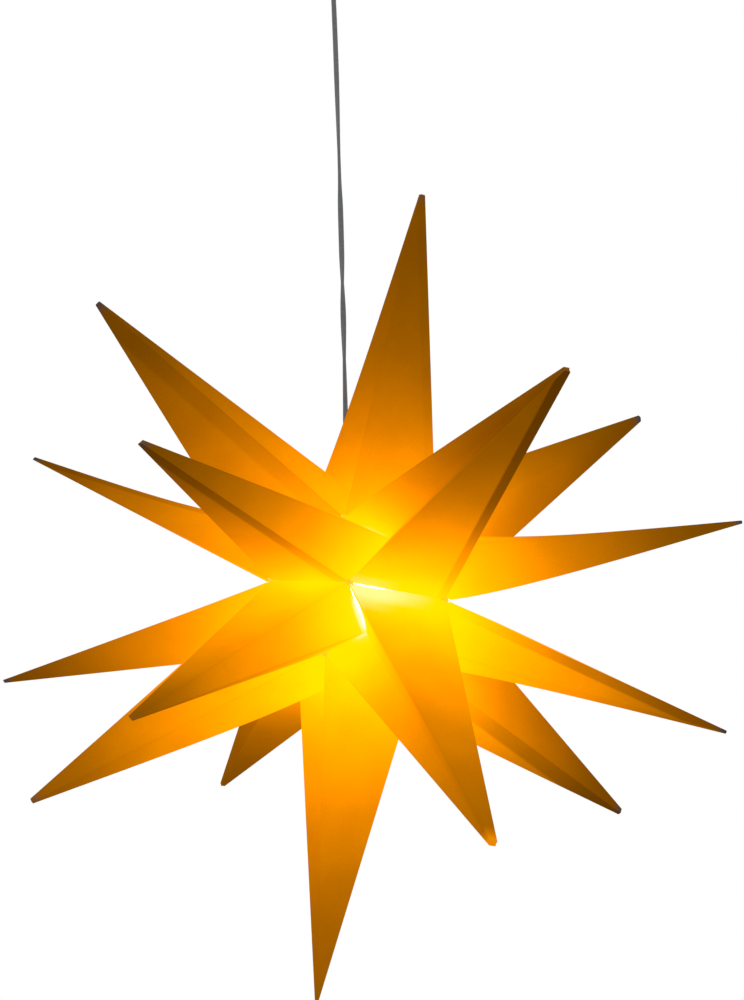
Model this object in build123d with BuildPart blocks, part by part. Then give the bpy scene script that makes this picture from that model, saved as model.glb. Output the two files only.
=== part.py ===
import os
from math import cos, radians, sin, sqrt

from build123d import *

os.makedirs("parts", exist_ok=True)

# Star: hollow sheet points in three rings of six round a nearly level pole axis.
GORES = 6
MIDDLE_TIP_RADIUS = 285.0
SIDE_TIP_RADIUS = 270.0
LEFT_LATITUDE = 52.0
RIGHT_LATITUDE = 56.0
SEAM_SPREAD = 12.0
RING_TWIST = 2.5
LEFT_VERTEX_AXIAL = 34.7
RIGHT_VERTEX_AXIAL = 39.5
VERTEX_RADIAL = 56.9
POLE_RADIUS = 67.0
PLEAT_AXIAL = 14.0
PLEAT_RADIAL = 67.0
EDGE_GAP = 0.2
SHEET = 0.6
TIP_WIDTH_RATIO = 0.06
TIP_SOLID = 14.0
FLAP_WIDTH = 7.0
FLAP_SPAN = (0.08, 0.8)

# Small lean of each soft point in degrees, along its ring and towards the right pole,
# and its extra length, counted from the seam over the front.
MIDDLE_LEAN = [(-1, 2, -1), (-1, 1.6, 0), (0, -1.8, 0), (0.8, -0.6, 0), (-1.2, 0, 0), (0, 0, 0)]
LEFT_LEAN = [(-1.5, 0, 3.5), (0.5, -1, 0), (-1, 3, 0), (0, -1.5, 0), (-1, 1, 0), (-2, 3, -1.5)]
RIGHT_LEAN = [(-3.5, -1, -2), (1, 0.5, 0.5), (0, -0.5, 1.5), (2, 2, -1.5), (0, 0, 0), (0, 0, 0)]

# Small shift of some left corners, in millimetres along the pole axis and degrees round it.
LEFT_RING_SHIFT = {1: (3.5, 1), 2: (0.5, -4.5), 3: (-1, -5.5), 4: (5.5, 6)}
LEFT_PLEAT_SHIFT = {1: (6.5, -4.5), 2: (-5, -4.5)}

# Hanging pose under the ceiling.
STAR_DROP = 700.0
STAR_YAW = 25.6
STAR_LEAN = -5.15
STAR_SHIFT_X = 0.0
STAR_SHIFT_Y = 0.0

# Corner studs and pole studs.
STUD_SHANK = 1.4
STUD_CAP = 2.4
STUD_WASHER = 3.4
STUD_THICK = 1.2
POLE_CAP = 3.0
POLE_WASHER = 4.2
PETAL_MARGIN = 2.2
STUD_CLEAR = 0.2
SHANK_CLEAR = 0.1
STUD_TAPER = 20.0
STUD_ROOM = 8.0

# Hanger plate and hems at the seam.
PLATE_RADIUS = 26.0
PLATE_THICK = 2.0
HEM_LENGTH = 56.0
HEM_WIDTH = 9.0
HEM_DROP = 0.4
HEM_GAP = 1.0
PLATE_ROOM = 5.0
RIVET_AXIAL = 21.5
RIVET_SIDE = 6.0
RIVET_HEAD = 2.6
RIVET_HEAD_THICK = 1.0

# Lamp holder and lamp, radii in the holder's own axis.
SLEEVE_RADIUS = 13.5
SLEEVE_WALL = 1.5
SHADE_RING_RADIUS = 17.0
SHADE_RING_HEIGHT = 4.0
SHADE_RING_CHAMFER = 0.6
NOTCH_RADIUS = 18.5
NOTCH_RISE = 15.0
NOTCH_HEIGHT = 40.0
SLEEVE_BELOW_PLATE = 20.5
SLEEVE_ABOVE_PLATE = 11.5
CAP_LAND = 1.5
CAP_SKIRT = 6.0
CAP_ROOM = 15.3
CAP_ROOM_RADIUS = 7.0
CAP_ROOF_THICK = 2.7
CAP_TOP_RADIUS = 9.5
GLAND_RADIUS = 5.0
GLAND_DRAFT = 0.8
GLAND_HEIGHT = 6.0
GLAND_CLEAR = 0.3
FERRULE_RADIUS = 4.2
FERRULE_HEIGHT = 3.5
CARRIER_INSET = 10.0
CARRIER_SINK = 2.0
CARRIER_RIM = 2.0
CARRIER_ROOF = 5.0
CARRIER_CLEAR = 0.2
SHELL_RADIUS = 7.2
SHELL_WALL = 0.5
SHELL_LIP = 1.0
CONTACT_RADIUS = 2.5
CONTACT_DROP = 1.2
CORE_RADIUS = 0.9
CORE_BEND = 1.2
CORE_SIDE = 1.1
CORE_HOLE_SIDE = 4.0
CORE_HOLE_DEPTH = 2.0
CORE_GAP = 0.8
CORE_STRAIGHT = 3.0
CORE_RISE = 4.5
LAMP_CAP_RADIUS = 6.9
LAMP_CAP_WALL = 0.5
LAMP_CAP_REVEAL = 1.0
LAMP_CAP_CONE = 2.0
LAMP_CAP_TOP = 3.5
LAMP_CAP_RIM = 0.6
FOOT_GAP = 0.4
FOOT_HEIGHT = 2.4
FOOT_SINK = 2.5
FOOT_NOSE = 1.6
FOOT_NOSE_HEIGHT = 0.8
BODY_HEIGHT = 22.0
BODY_BORE = 6.0
BODY_TOP = 9.0
BODY_GAP = 0.2
BODY_INSET = 3.5
NECK_RADIUS = 10.0
NECK_HEIGHT = 8.0
DRIVER_LENGTH = 8.0
DRIVER_WIDTH = 7.0
DRIVER_HEIGHT = 16.0
BOARD_RADIUS = 12.0
BOARD_THICK = 1.6
CHIP_COUNT = 6
CHIP_RING = 8.0
CHIP_SIZE = 3.0
CHIP_THICK = 0.8
GLOBE_RADIUS = 20.0
GLOBE_WALL = 1.0

# Cord and ceiling fitting.
CORD_RADIUS = 2.2
CORD_FIT = 0.05
CORD_STRAIGHT = 24.0
TAIL_GAP = 0.4
TAIL_DEPTH = 9.0
PIVOT_DEPTH = 31.5
CANOPY_DEPTH = 32.0
CANOPY_WALL = 1.2
CANOPY_SHOULDER = 10.0
CANOPY_TAPER = 12.0
OUTLET_RADIUS = 9.0
BALL_RADIUS = 6.0
BALL_CLEAR = 0.3
BALL_BORE_FLARE = 1.7
SEAT_DROP = 3.5
SEAT_RISE = 1.0
NECK_TOP = 6.5
NECK_INNER = 0.9
NECK_CLEAR = 0.2
FLANGE_WIDTH = 3.0
GRIP_TOP = 18.5
GRIP_SLOPE = 3.0
GRIP_WALL = 2.0
GRIP_NARROWING = 1.0
GRIP_SCREW_RISE = 13.0
GRIP_SCREW_STICKS_OUT = 0.5
SMALL_SCREW_RADIUS = 1.45
SMALL_SCREW_CLEAR = 0.05
BRACKET_HALF = 43.0
BRACKET_WIDTH = 16.0
BRACKET_THICK = 1.5
BRACKET_TAB = 14.0
BRACKET_CLEAR = 0.8
BLOCK_INSET = 12.0
BLOCK_LENGTH = 18.0
BLOCK_WIDTH = 16.0
BLOCK_HEIGHT = 11.0
BLOCK_CORE_DEPTH = 5.0
BLOCK_CORE_SIDE = 4.0
BLOCK_CORE_ENTRY = 6.0
BLOCK_CORE_LEAD = 3.0
BLOCK_SCREW_INSET = 4.5
BLOCK_SCREW_RADIUS = 1.65
BLOCK_SCREW_SINK = 1.0
BLOCK_SCREW_CLEAR = 0.05
SCREW_TIP_GAP = 0.2
SCREW_SLOT_LENGTH = 2.4
SCREW_SLOT_WIDTH = 0.5
CANOPY_RADIUS = BRACKET_HALF + BRACKET_CLEAR + CANOPY_WALL
MOUNT_SPACING = 72.0
MOUNT_HOLE = 2.3
CANOPY_SCREW_DEPTH = 8.0
CANOPY_SCREW_HEAD = 2.8
CANOPY_SCREW_HEAD_THICK = 1.8
CANOPY_SCREW_TAIL = 1.0
CANOPY_HOLE_CLEAR = 0.15


def axis_frame(origin, x_dir, z_dir):
    """Frame with its z along an axis of the object."""
    return Plane(origin=origin, x_dir=x_dir, z_dir=z_dir)


pole_dir = Vector(1, 0, 0).rotate(Axis.Y, STAR_LEAN).rotate(Axis.Z, STAR_YAW)
seam_dir = Vector(0, 0, 1).rotate(Axis.Y, STAR_LEAN).rotate(Axis.Z, STAR_YAW)
star_centre = Vector(STAR_SHIFT_X, STAR_SHIFT_Y, -STAR_DROP)
star = axis_frame(star_centre, pole_dir, seam_dir)
ceiling = axis_frame((0, 0, 0), (1, 0, 0), (0, 0, 1))


def in_star(axial, away, up):
    """Point given along the pole axis, away from the front and up to the seam."""
    return star.from_local_coords(Vector(axial, away, up))


def around(angle, axial, radial):
    """Point at an angle from the seam over the front."""
    return in_star(axial, -radial * sin(radians(angle)), radial * cos(radians(angle)))


def tip_direction(angle, latitude):
    """Unit direction of a point's tip from the star's centre."""
    reach = cos(radians(latitude))
    return around(angle, sin(radians(latitude)), reach) - star_centre


gore_pitch = (360.0 - SEAM_SPREAD) / GORES
gore_angles = [SEAM_SPREAD / 2 + gore_pitch * (k + 0.5) for k in range(GORES)]
edge_angles = [0.0] + [SEAM_SPREAD / 2 + gore_pitch * k for k in range(1, GORES)]


def ring_vertex(k, side):
    """Corner where four points meet, before gore k."""
    angle = edge_angles[k % GORES]
    if side > 0:
        return around(angle, RIGHT_VERTEX_AXIAL, VERTEX_RADIAL)
    shift, turn = LEFT_RING_SHIFT.get(k % GORES, (0, 0))
    return around(angle + turn, shift - LEFT_VERTEX_AXIAL, VERTEX_RADIAL)


def pleat_vertex(k, side):
    """Corner of a side point that presses a pleat into the middle point."""
    shift, turn = LEFT_PLEAT_SHIFT.get(k, (0, 0)) if side < 0 else (0, 0)
    return around(gore_angles[k] + turn, side * PLEAT_AXIAL + shift, PLEAT_RADIAL)


def pole_vertex(side):
    """Corner where six side points meet."""
    return in_star(side * POLE_RADIUS, 0, 0)


def flat_profile(corners):
    """Flat profile through corners in space."""
    edge = corners[1] - corners[0]
    face = Plane(corners[0], x_dir=edge, z_dir=edge.cross(corners[2] - corners[0]))
    with BuildSketch(face) as profile:
        with BuildLine():
            Polyline(*[face.to_local_coords(c) for c in corners], close=True)
        make_face()
    return profile.sketch


def on_plane(start, end, origin, normal):
    """Where a line crosses a plane."""
    ratio = normal.dot(origin - start) / normal.dot(end - start)
    return start + (end - start) * ratio


def stud_plane(vertex):
    """Plane across a stud, facing away from the star's centre."""
    out = (vertex - star_centre).normalized()
    side = out.cross(seam_dir) if abs(out.dot(seam_dir)) < 0.9 else out.cross(pole_dir)
    return Plane(vertex, x_dir=side, z_dir=out)


def add_petal(vertex, corner, before, after, apex, reach, shank):
    """Flat corner tab gripped by a stud."""
    face = stud_plane(vertex)
    normal = face.z_dir
    root = on_plane(corner, apex, vertex, normal)
    legs = []
    for other in (before, after):
        leg = normal.cross((apex - corner).cross(other - corner)).normalized()
        if leg.dot(other - corner) < 0:
            leg = leg * -1
        legs.append(leg)
    middle = (legs[0] + legs[1]).normalized()
    outline = [root, root + legs[0] * reach, root + middle * reach, root + legs[1] * reach]
    with BuildSketch(face) as petal:
        with BuildLine():
            Polyline(*[face.to_local_coords(p) for p in outline], close=True)
        make_face()
    extrude(petal.sketch, amount=SHEET / 2, both=True)
    with Locations(face.location):
        Cylinder(shank, 4 * SHEET, mode=Mode.SUBTRACT)


def clear_stud(vertex, cap, washer):
    """Room for a stud's cap and washer at a corner."""
    face = stud_plane(vertex)
    rise = (SHEET + STUD_ROOM) / 2
    with Locations(face.offset(rise).location):
        Cylinder(cap + STUD_CLEAR, STUD_ROOM, mode=Mode.SUBTRACT)
    with Locations(face.offset(-rise).location):
        Cylinder(washer + STUD_CLEAR, STUD_ROOM, mode=Mode.SUBTRACT)


def point_corners(corners, centre):
    """Base corners drawn in a little, so that a hairline is left between points."""
    return [c + (centre - c).normalized() * EDGE_GAP for c in corners]


def add_point(corners, held, direction, tip_radius, flap, flap_next):
    """Hollow folded point over its base corners, with tabs at the held corners."""
    count = len(corners)
    follow = [(i + 1) % count for i in range(count)]
    centre = sum(corners, Vector(0, 0, 0)) / count
    inside = (star_centre + centre) / 2
    base = point_corners(corners, centre)
    base_reach = (centre - star_centre).length
    apex_radius = (tip_radius - TIP_WIDTH_RATIO * base_reach) / (1 - TIP_WIDTH_RATIO)
    apex = star_centre + direction * apex_radius
    tip = star_centre + direction * tip_radius
    normals = []
    for i, j in enumerate(follow):
        normal = (base[j] - base[i]).cross(apex - base[i]).normalized()
        normals.append(normal if normal.dot(inside - base[i]) < 0 else normal * -1)
    tops = [on_plane(c, apex, tip, direction) for c in base]
    lows = []
    ends = []
    for i in range(count):
        mitre = (normals[i - 1] + normals[i]) / (1 + normals[i - 1].dot(normals[i]))
        low = base[i] - mitre * SHEET
        lows.append(low)
        ends.append(on_plane(low, low + apex - base[i], tip - direction * TIP_SOLID, direction))
    loops = [tops, ends]
    for i, j in enumerate(follow):
        loops.append([base[i], base[j], tops[j], tops[i]])
        loops.append([lows[i], lows[j], ends[j], ends[i]])
        loops.append([base[i], base[j], lows[j]])
        loops.append([base[i], lows[j], lows[i]])
    add(Solid(Shell([flat_profile(loop).faces()[0] for loop in loops])))
    for i, stud in held.items():
        clear_stud(corners[i], stud[0], stud[1])
    # Glued overlap inside the facet, along the fold from the flap corner.
    fold = tops[flap] - base[flap]
    across = tops[flap_next] - base[flap_next]
    strip = []
    for share in FLAP_SPAN:
        start = base[flap] + fold * share
        reach = base[flap_next] + across * share - start
        width = min(FLAP_WIDTH, reach.length / 2)
        strip.append(start + reach.normalized() * 2 * SHEET)
        strip.append(start + reach.normalized() * width)
    normal = normals[flap] if follow[flap] == flap_next else normals[flap_next]
    depth = normal * (SHEET / 2)
    overlap = flat_profile([p - depth for p in (strip[0], strip[1], strip[3], strip[2])])
    extrude(overlap, amount=1.5 * SHEET, dir=normal * -1)
    for i, stud in held.items():
        add_petal(
            corners[i],
            base[i],
            base[i - 1],
            base[follow[i]],
            apex,
            stud[0] + PETAL_MARGIN,
            STUD_SHANK + SHANK_CLEAR,
        )


corner_stud = (STUD_CAP, STUD_WASHER)
pole_stud = (POLE_CAP, POLE_WASHER)
seam_points = {0: 1, GORES - 1: -1}
hem_low = VERTEX_RADIAL - HEM_DROP
hem_high = hem_low + SHEET

for k in range(GORES):
    lean_along, lean_across, longer = MIDDLE_LEAN[k]
    corners = [
        ring_vertex(k, -1),
        pleat_vertex(k, -1),
        ring_vertex(k + 1, -1),
        ring_vertex(k + 1, 1),
        pleat_vertex(k, 1),
        ring_vertex(k, 1),
    ]
    direction = tip_direction(gore_angles[k] + lean_along, lean_across)
    studs = {i: corner_stud for i in (0, 2, 3, 5)}
    with BuildPart() as middle_point:
        add_point(corners, studs, direction, MIDDLE_TIP_RADIUS + longer, 3, 2)
        if k in seam_points:
            # Hem along the seam and a notch round the lamp holder.
            front = -seam_points[k]
            hem_mid = in_star(0, front * (HEM_GAP + HEM_WIDTH) / 2, (hem_low + hem_high) / 2)
            with Locations(axis_frame(hem_mid, pole_dir, seam_dir).location):
                Box(HEM_LENGTH, HEM_WIDTH, SHEET)
            with Locations(star.offset(VERTEX_RADIAL + NOTCH_RISE).location):
                Cylinder(NOTCH_RADIUS, NOTCH_HEIGHT, mode=Mode.SUBTRACT)
            with Locations(star.offset(hem_low - PLATE_ROOM / 2).location):
                Cylinder(PLATE_RADIUS + STUD_CLEAR, PLATE_ROOM, mode=Mode.SUBTRACT)
            for side in (-1, 1):
                spot = in_star(side * RIVET_AXIAL, front * RIVET_SIDE, hem_low)
                with Locations(axis_frame(spot, pole_dir, seam_dir).location):
                    Cylinder(STUD_SHANK + SHANK_CLEAR, 5 * SHEET, mode=Mode.SUBTRACT)
    middle_point.part.label = f"middle_point_{k + 1}"
    export_step(middle_point.part, f"parts/middle_point_{k + 1}.step")

for side, ring, latitude, leans, twist in (
    (-1, "left", LEFT_LATITUDE, LEFT_LEAN, RING_TWIST),
    (1, "right", RIGHT_LATITUDE, RIGHT_LEAN, -RING_TWIST),
):
    for k in range(GORES):
        lean_along, lean_across, longer = leans[k]
        corners = [
            pole_vertex(side),
            ring_vertex(k, side),
            pleat_vertex(k, side),
            ring_vertex(k + 1, side),
        ]
        direction = tip_direction(
            gore_angles[k] + twist + lean_along, side * latitude + lean_across
        )
        studs = {0: pole_stud, 1: corner_stud, 3: corner_stud}
        flap, flap_next = (3, 0) if side < 0 else (1, 2)
        with BuildPart() as side_point:
            add_point(corners, studs, direction, SIDE_TIP_RADIUS + longer, flap, flap_next)
        side_point.part.label = f"{ring}_point_{k + 1}"
        export_step(side_point.part, f"parts/{ring}_point_{k + 1}.step")

# Studs at the corners where points meet.
ring_vertices = [ring_vertex(k, side) for k in range(GORES) for side in (-1, 1)]
pole_vertices = [pole_vertex(side) for side in (-1, 1)]
for name, spots, cap, washer in (
    ("corner_stud", ring_vertices, STUD_CAP, STUD_WASHER),
    ("pole_stud", pole_vertices, POLE_CAP, POLE_WASHER),
):
    with BuildPart() as stud_caps:
        for spot in spots:
            face = stud_plane(spot)
            with BuildSketch(face.offset(SHEET / 2)):
                Circle(cap)
            extrude(amount=STUD_THICK, taper=STUD_TAPER)
            with BuildSketch(face.offset(SHEET / 2)):
                Circle(STUD_SHANK)
            extrude(amount=-SHEET - STUD_THICK)
    stud_caps.part.label = f"{name}_caps"
    export_step(stud_caps.part, f"parts/{name}_caps.step")
    with BuildPart() as stud_washers:
        for spot in spots:
            face = stud_plane(spot)
            with BuildSketch(face.offset(-SHEET / 2)):
                Circle(washer)
                Circle(STUD_SHANK + CORD_FIT, mode=Mode.SUBTRACT)
            extrude(amount=-STUD_THICK)
    stud_washers.part.label = f"{name}_washers"
    export_step(stud_washers.part, f"parts/{name}_washers.step")


def turned(frame, profile):
    """Turned solid from radius and height corners, added to the part being built."""
    section = Plane(frame.origin, x_dir=frame.x_dir, z_dir=frame.y_dir * -1)
    with BuildSketch(section) as half:
        with BuildLine():
            Polyline(*profile, close=True)
        make_face()
    revolve(half.sketch, axis=Axis(frame.origin, frame.z_dir))


# Hanger plate, rivets and shade rings.
plate_top = hem_low
plate_low = plate_top - PLATE_THICK
rivet_spots = [
    (side * RIVET_AXIAL, front * RIVET_SIDE) for side in (-1, 1) for front in (-1, 1)
]
with BuildPart() as hanger_plate:
    with BuildSketch(star.offset(plate_low)):
        Circle(PLATE_RADIUS)
        Circle(SLEEVE_RADIUS + 2 * CORD_FIT, mode=Mode.SUBTRACT)
        with Locations(*rivet_spots):
            Circle(STUD_SHANK + SHANK_CLEAR, mode=Mode.SUBTRACT)
    extrude(amount=PLATE_THICK)
hanger_plate.part.label = "hanger_plate"
export_step(hanger_plate.part, "parts/hanger_plate.step")

with BuildPart() as hem_rivets:
    with BuildSketch(star.offset(hem_high)):
        with Locations(*rivet_spots):
            Circle(RIVET_HEAD)
    extrude(amount=RIVET_HEAD_THICK)
    with BuildSketch(star.offset(plate_low)):
        with Locations(*rivet_spots):
            Circle(STUD_SHANK)
    extrude(amount=hem_high - plate_low)
    with BuildSketch(star.offset(plate_low - RIVET_HEAD_THICK)):
        with Locations(*rivet_spots):
            Circle(RIVET_HEAD)
    extrude(amount=RIVET_HEAD_THICK)
hem_rivets.part.label = "hem_rivets"
export_step(hem_rivets.part, "parts/hem_rivets.step")

for name, low in (
    ("upper_shade_ring", plate_top),
    ("lower_shade_ring", plate_low - SHADE_RING_HEIGHT),
):
    with BuildPart() as shade_ring:
        with BuildSketch(star.offset(low)):
            Circle(SHADE_RING_RADIUS)
            Circle(SLEEVE_RADIUS + CORD_FIT, mode=Mode.SUBTRACT)
        extrude(amount=SHADE_RING_HEIGHT)
        rims = shade_ring.edges().filter_by(GeomType.CIRCLE).sort_by(SortBy.RADIUS)[-2:]
        chamfer(rims, SHADE_RING_CHAMFER)
    shade_ring.part.label = name
    export_step(shade_ring.part, f"parts/{name}.step")

# Lamp holder, heights from the star's centre along the holder's axis.
sleeve_low = plate_low - SLEEVE_BELOW_PLATE
sleeve_high = plate_top + SLEEVE_ABOVE_PLATE
sleeve_bore = SLEEVE_RADIUS - SLEEVE_WALL
carrier_low = sleeve_low + CARRIER_INSET
carrier_high = sleeve_high - CARRIER_SINK
carrier_rim_high = sleeve_high - CARRIER_CLEAR
carrier_rim_bore = sleeve_bore - CARRIER_RIM
shell_high = carrier_high - CARRIER_ROOF
shell_low = carrier_low - SHELL_LIP
shell_room_high = shell_high + CARRIER_CLEAR
shell_room = SHELL_RADIUS + SHELL_WALL + CORD_FIT
skirt_high = sleeve_high + CAP_SKIRT
cap_bore = sleeve_bore - CAP_LAND
cap_roof = sleeve_high + CAP_ROOM
cap_top = cap_roof + CAP_ROOF_THICK
gland_top = cap_top + GLAND_HEIGHT
gland_bore = CORD_RADIUS + GLAND_CLEAR
ferrule_high = cap_roof - GLAND_CLEAR
ferrule_low = ferrule_high - FERRULE_HEIGHT

with BuildPart() as holder_sleeve:
    turned(
        star,
        [
            (sleeve_bore, sleeve_low),
            (SLEEVE_RADIUS, sleeve_low),
            (SLEEVE_RADIUS, sleeve_high),
            (sleeve_bore, sleeve_high),
        ],
    )
holder_sleeve.part.label = "holder_sleeve"
export_step(holder_sleeve.part, "parts/holder_sleeve.step")

with BuildPart() as holder_cap:
    turned(
        star,
        [
            (cap_bore, sleeve_high),
            (SLEEVE_RADIUS, sleeve_high),
            (SLEEVE_RADIUS, skirt_high),
            (CAP_TOP_RADIUS, cap_top),
            (GLAND_RADIUS, cap_top),
            (GLAND_RADIUS - GLAND_DRAFT, gland_top),
            (gland_bore, gland_top),
            (gland_bore, cap_roof),
            (CAP_ROOM_RADIUS, cap_roof),
            (cap_bore, skirt_high),
        ],
    )
holder_cap.part.label = "holder_cap"
export_step(holder_cap.part, "parts/holder_cap.step")

with BuildPart() as contact_carrier:
    turned(
        star,
        [
            (shell_room, carrier_low),
            (sleeve_bore - CORD_FIT, carrier_low),
            (sleeve_bore - CORD_FIT, carrier_rim_high),
            (carrier_rim_bore, carrier_rim_high),
            (carrier_rim_bore, carrier_high),
            (0, carrier_high),
            (0, shell_room_high),
            (shell_room, shell_room_high),
        ],
    )
    with Locations(star.offset(carrier_high).location):
        with Locations((CORE_HOLE_SIDE, 0), (-CORE_HOLE_SIDE, 0)):
            Cylinder(CORE_RADIUS + CORD_FIT, 2 * CORE_HOLE_DEPTH, mode=Mode.SUBTRACT)
contact_carrier.part.label = "contact_carrier"
export_step(contact_carrier.part, "parts/contact_carrier.step")

with BuildPart() as socket_shell:
    turned(
        star,
        [
            (SHELL_RADIUS, shell_low),
            (SHELL_RADIUS + SHELL_WALL, shell_low),
            (SHELL_RADIUS + SHELL_WALL, shell_high),
            (SHELL_RADIUS, shell_high),
        ],
    )
socket_shell.part.label = "socket_shell"
export_step(socket_shell.part, "parts/socket_shell.step")

contact_low = shell_high - CONTACT_DROP
with BuildPart() as socket_contact:
    turned(
        star,
        [
            (0, contact_low),
            (CONTACT_RADIUS, contact_low),
            (CONTACT_RADIUS, shell_room_high),
            (0, shell_room_high),
        ],
    )
socket_contact.part.label = "socket_contact"
export_step(socket_contact.part, "parts/socket_contact.step")

# Cores that run from the end of the cord to the carrier.
core_high = ferrule_low - CORE_GAP
with BuildPart() as holder_cores:
    for side in (-1, 1):
        with BuildLine(Plane(star_centre, x_dir=pole_dir, z_dir=star.y_dir * -1)) as core_path:
            FilletPolyline(
                (side * CORE_SIDE, core_high),
                (side * CORE_SIDE, core_high - CORE_STRAIGHT),
                (side * CORE_HOLE_SIDE, carrier_high + CORE_RISE),
                (side * CORE_HOLE_SIDE, carrier_high - CORE_HOLE_DEPTH),
                radius=CORE_BEND,
            )
        with BuildSketch(Plane(core_path.line @ 0, z_dir=core_path.line % 0)):
            Circle(CORE_RADIUS)
        sweep(path=core_path.line)
holder_cores.part.label = "holder_cores"
export_step(holder_cores.part, "parts/holder_cores.step")

# Lamp.
lamp_top = contact_low - FOOT_GAP
lamp_cap_high = lamp_top - FOOT_HEIGHT
lamp_cap_low = shell_low - LAMP_CAP_REVEAL
lamp_cap_bore = LAMP_CAP_RADIUS - LAMP_CAP_WALL
cone_low = lamp_cap_high - LAMP_CAP_CONE
lamp_low = lamp_cap_low - BODY_HEIGHT
neck_low = lamp_cap_low - NECK_HEIGHT
with BuildPart() as lamp_cap:
    turned(
        star,
        [
            (lamp_cap_bore, lamp_cap_low),
            (LAMP_CAP_RADIUS, lamp_cap_low),
            (LAMP_CAP_RADIUS, cone_low),
            (LAMP_CAP_TOP, lamp_cap_high),
            (CONTACT_RADIUS, lamp_cap_high),
            (CONTACT_RADIUS, lamp_cap_high - LAMP_CAP_RIM),
            (lamp_cap_bore, cone_low - LAMP_CAP_RIM),
        ],
    )
lamp_cap.part.label = "lamp_cap"
export_step(lamp_cap.part, "parts/lamp_cap.step")

foot_low = lamp_cap_high - FOOT_SINK
with BuildPart() as lamp_contact:
    turned(
        star,
        [
            (0, foot_low),
            (CONTACT_RADIUS - CORD_FIT, foot_low),
            (CONTACT_RADIUS - CORD_FIT, lamp_top - FOOT_NOSE_HEIGHT),
            (FOOT_NOSE, lamp_top),
            (0, lamp_top),
        ],
    )
lamp_contact.part.label = "lamp_contact"
export_step(lamp_contact.part, "parts/lamp_contact.step")

body_rim = GLOBE_RADIUS - BODY_INSET
body_high = lamp_cap_low - BODY_GAP
with BuildPart() as lamp_body:
    turned(
        star,
        [
            (BODY_BORE, body_high),
            (BODY_TOP, body_high),
            (NECK_RADIUS, neck_low),
            (body_rim, lamp_low),
            (BODY_BORE, lamp_low),
        ],
    )
lamp_body.part.label = "lamp_body"
export_step(lamp_body.part, "parts/lamp_body.step")

with BuildPart() as lamp_driver:
    with BuildSketch(star.offset(lamp_low)):
        Rectangle(DRIVER_LENGTH, DRIVER_WIDTH)
    extrude(amount=DRIVER_HEIGHT)
lamp_driver.part.label = "lamp_driver"
export_step(lamp_driver.part, "parts/lamp_driver.step")

board_low = lamp_low - BOARD_THICK
with BuildPart() as light_board:
    with BuildSketch(star.offset(board_low)):
        Circle(BOARD_RADIUS)
    extrude(amount=BOARD_THICK)
light_board.part.label = "light_board"
export_step(light_board.part, "parts/light_board.step")

with BuildPart() as light_chips:
    with BuildSketch(star.offset(board_low - CHIP_THICK)):
        with PolarLocations(CHIP_RING, CHIP_COUNT):
            Rectangle(CHIP_SIZE, CHIP_SIZE)
    extrude(amount=CHIP_THICK)
light_chips.part.label = "light_chips"
export_step(light_chips.part, "parts/light_chips.step")

globe_centre = lamp_low - sqrt(GLOBE_RADIUS**2 - body_rim**2)
with BuildPart() as lamp_globe:
    with Locations(star.offset(globe_centre).location):
        Sphere(GLOBE_RADIUS)
        Sphere(GLOBE_RADIUS - GLOBE_WALL, mode=Mode.SUBTRACT)
    with Locations(star.offset(lamp_low + GLOBE_RADIUS).location):
        Box(3 * GLOBE_RADIUS, 3 * GLOBE_RADIUS, 2 * GLOBE_RADIUS, mode=Mode.SUBTRACT)
lamp_globe.part.label = "lamp_globe"
export_step(lamp_globe.part, "parts/lamp_globe.step")

# Pendant cord: straight from the outlet, with one bend into the holder's gland.
pivot = Vector(0, 0, -PIVOT_DEPTH)
cord_bend = in_star(0, 0, gland_top + CORD_STRAIGHT)
cord_end = in_star(0, 0, ferrule_low)
run_a = cord_bend - pivot
run_b = cord_end - cord_bend
half_turn = radians(run_a.get_angle(run_b)) / 2
cord_bend_radius = 0.45 * min(run_a.length, run_b.length) * cos(half_turn) / sin(half_turn)
print("cord bend radius", round(cord_bend_radius, 1), "length", round(run_a.length + run_b.length, 1))
with BuildPart() as pendant_cord:
    with BuildLine() as cord_path:
        FilletPolyline(pivot, cord_bend, cord_end, radius=cord_bend_radius)
    with BuildSketch(Plane(cord_path.line @ 0, z_dir=cord_path.line % 0)):
        Circle(CORD_RADIUS)
    sweep(path=cord_path.line)
    with Locations(pivot):
        Sphere(CORD_RADIUS)
pendant_cord.part.label = "pendant_cord"
export_step(pendant_cord.part, "parts/pendant_cord.step")

with BuildPart() as cord_ferrule:
    turned(
        star,
        [
            (CORD_RADIUS, ferrule_low),
            (FERRULE_RADIUS, ferrule_low),
            (FERRULE_RADIUS, ferrule_high),
            (CORD_RADIUS, ferrule_high),
        ],
    )
cord_ferrule.part.label = "cord_ferrule"
export_step(cord_ferrule.part, "parts/cord_ferrule.step")

# Swivel in the outlet: a ball ring in a two-part seat, so that the cord can swing.
outlet = axis_frame(pivot, (1, 0, 0), (0, 0, 1))
seat_radius = BALL_RADIUS + BALL_CLEAR
ring_half = BALL_RADIUS / 2
floor_low = PIVOT_DEPTH - CANOPY_DEPTH
floor_high = floor_low + CANOPY_WALL
neck_bore = seat_radius + NECK_INNER
neck_radius = OUTLET_RADIUS - NECK_CLEAR
flange_radius = neck_radius + FLANGE_WIDTH
ball_bore = CORD_RADIUS + TAIL_GAP
ball_mouth = ball_bore + BALL_BORE_FLARE
outlet_section = Plane(pivot, x_dir=(1, 0, 0), z_dir=(0, -1, 0))


def ball_reach(radius, height):
    """Radius of a ball's section at a height."""
    return sqrt(radius**2 - height**2)


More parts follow.
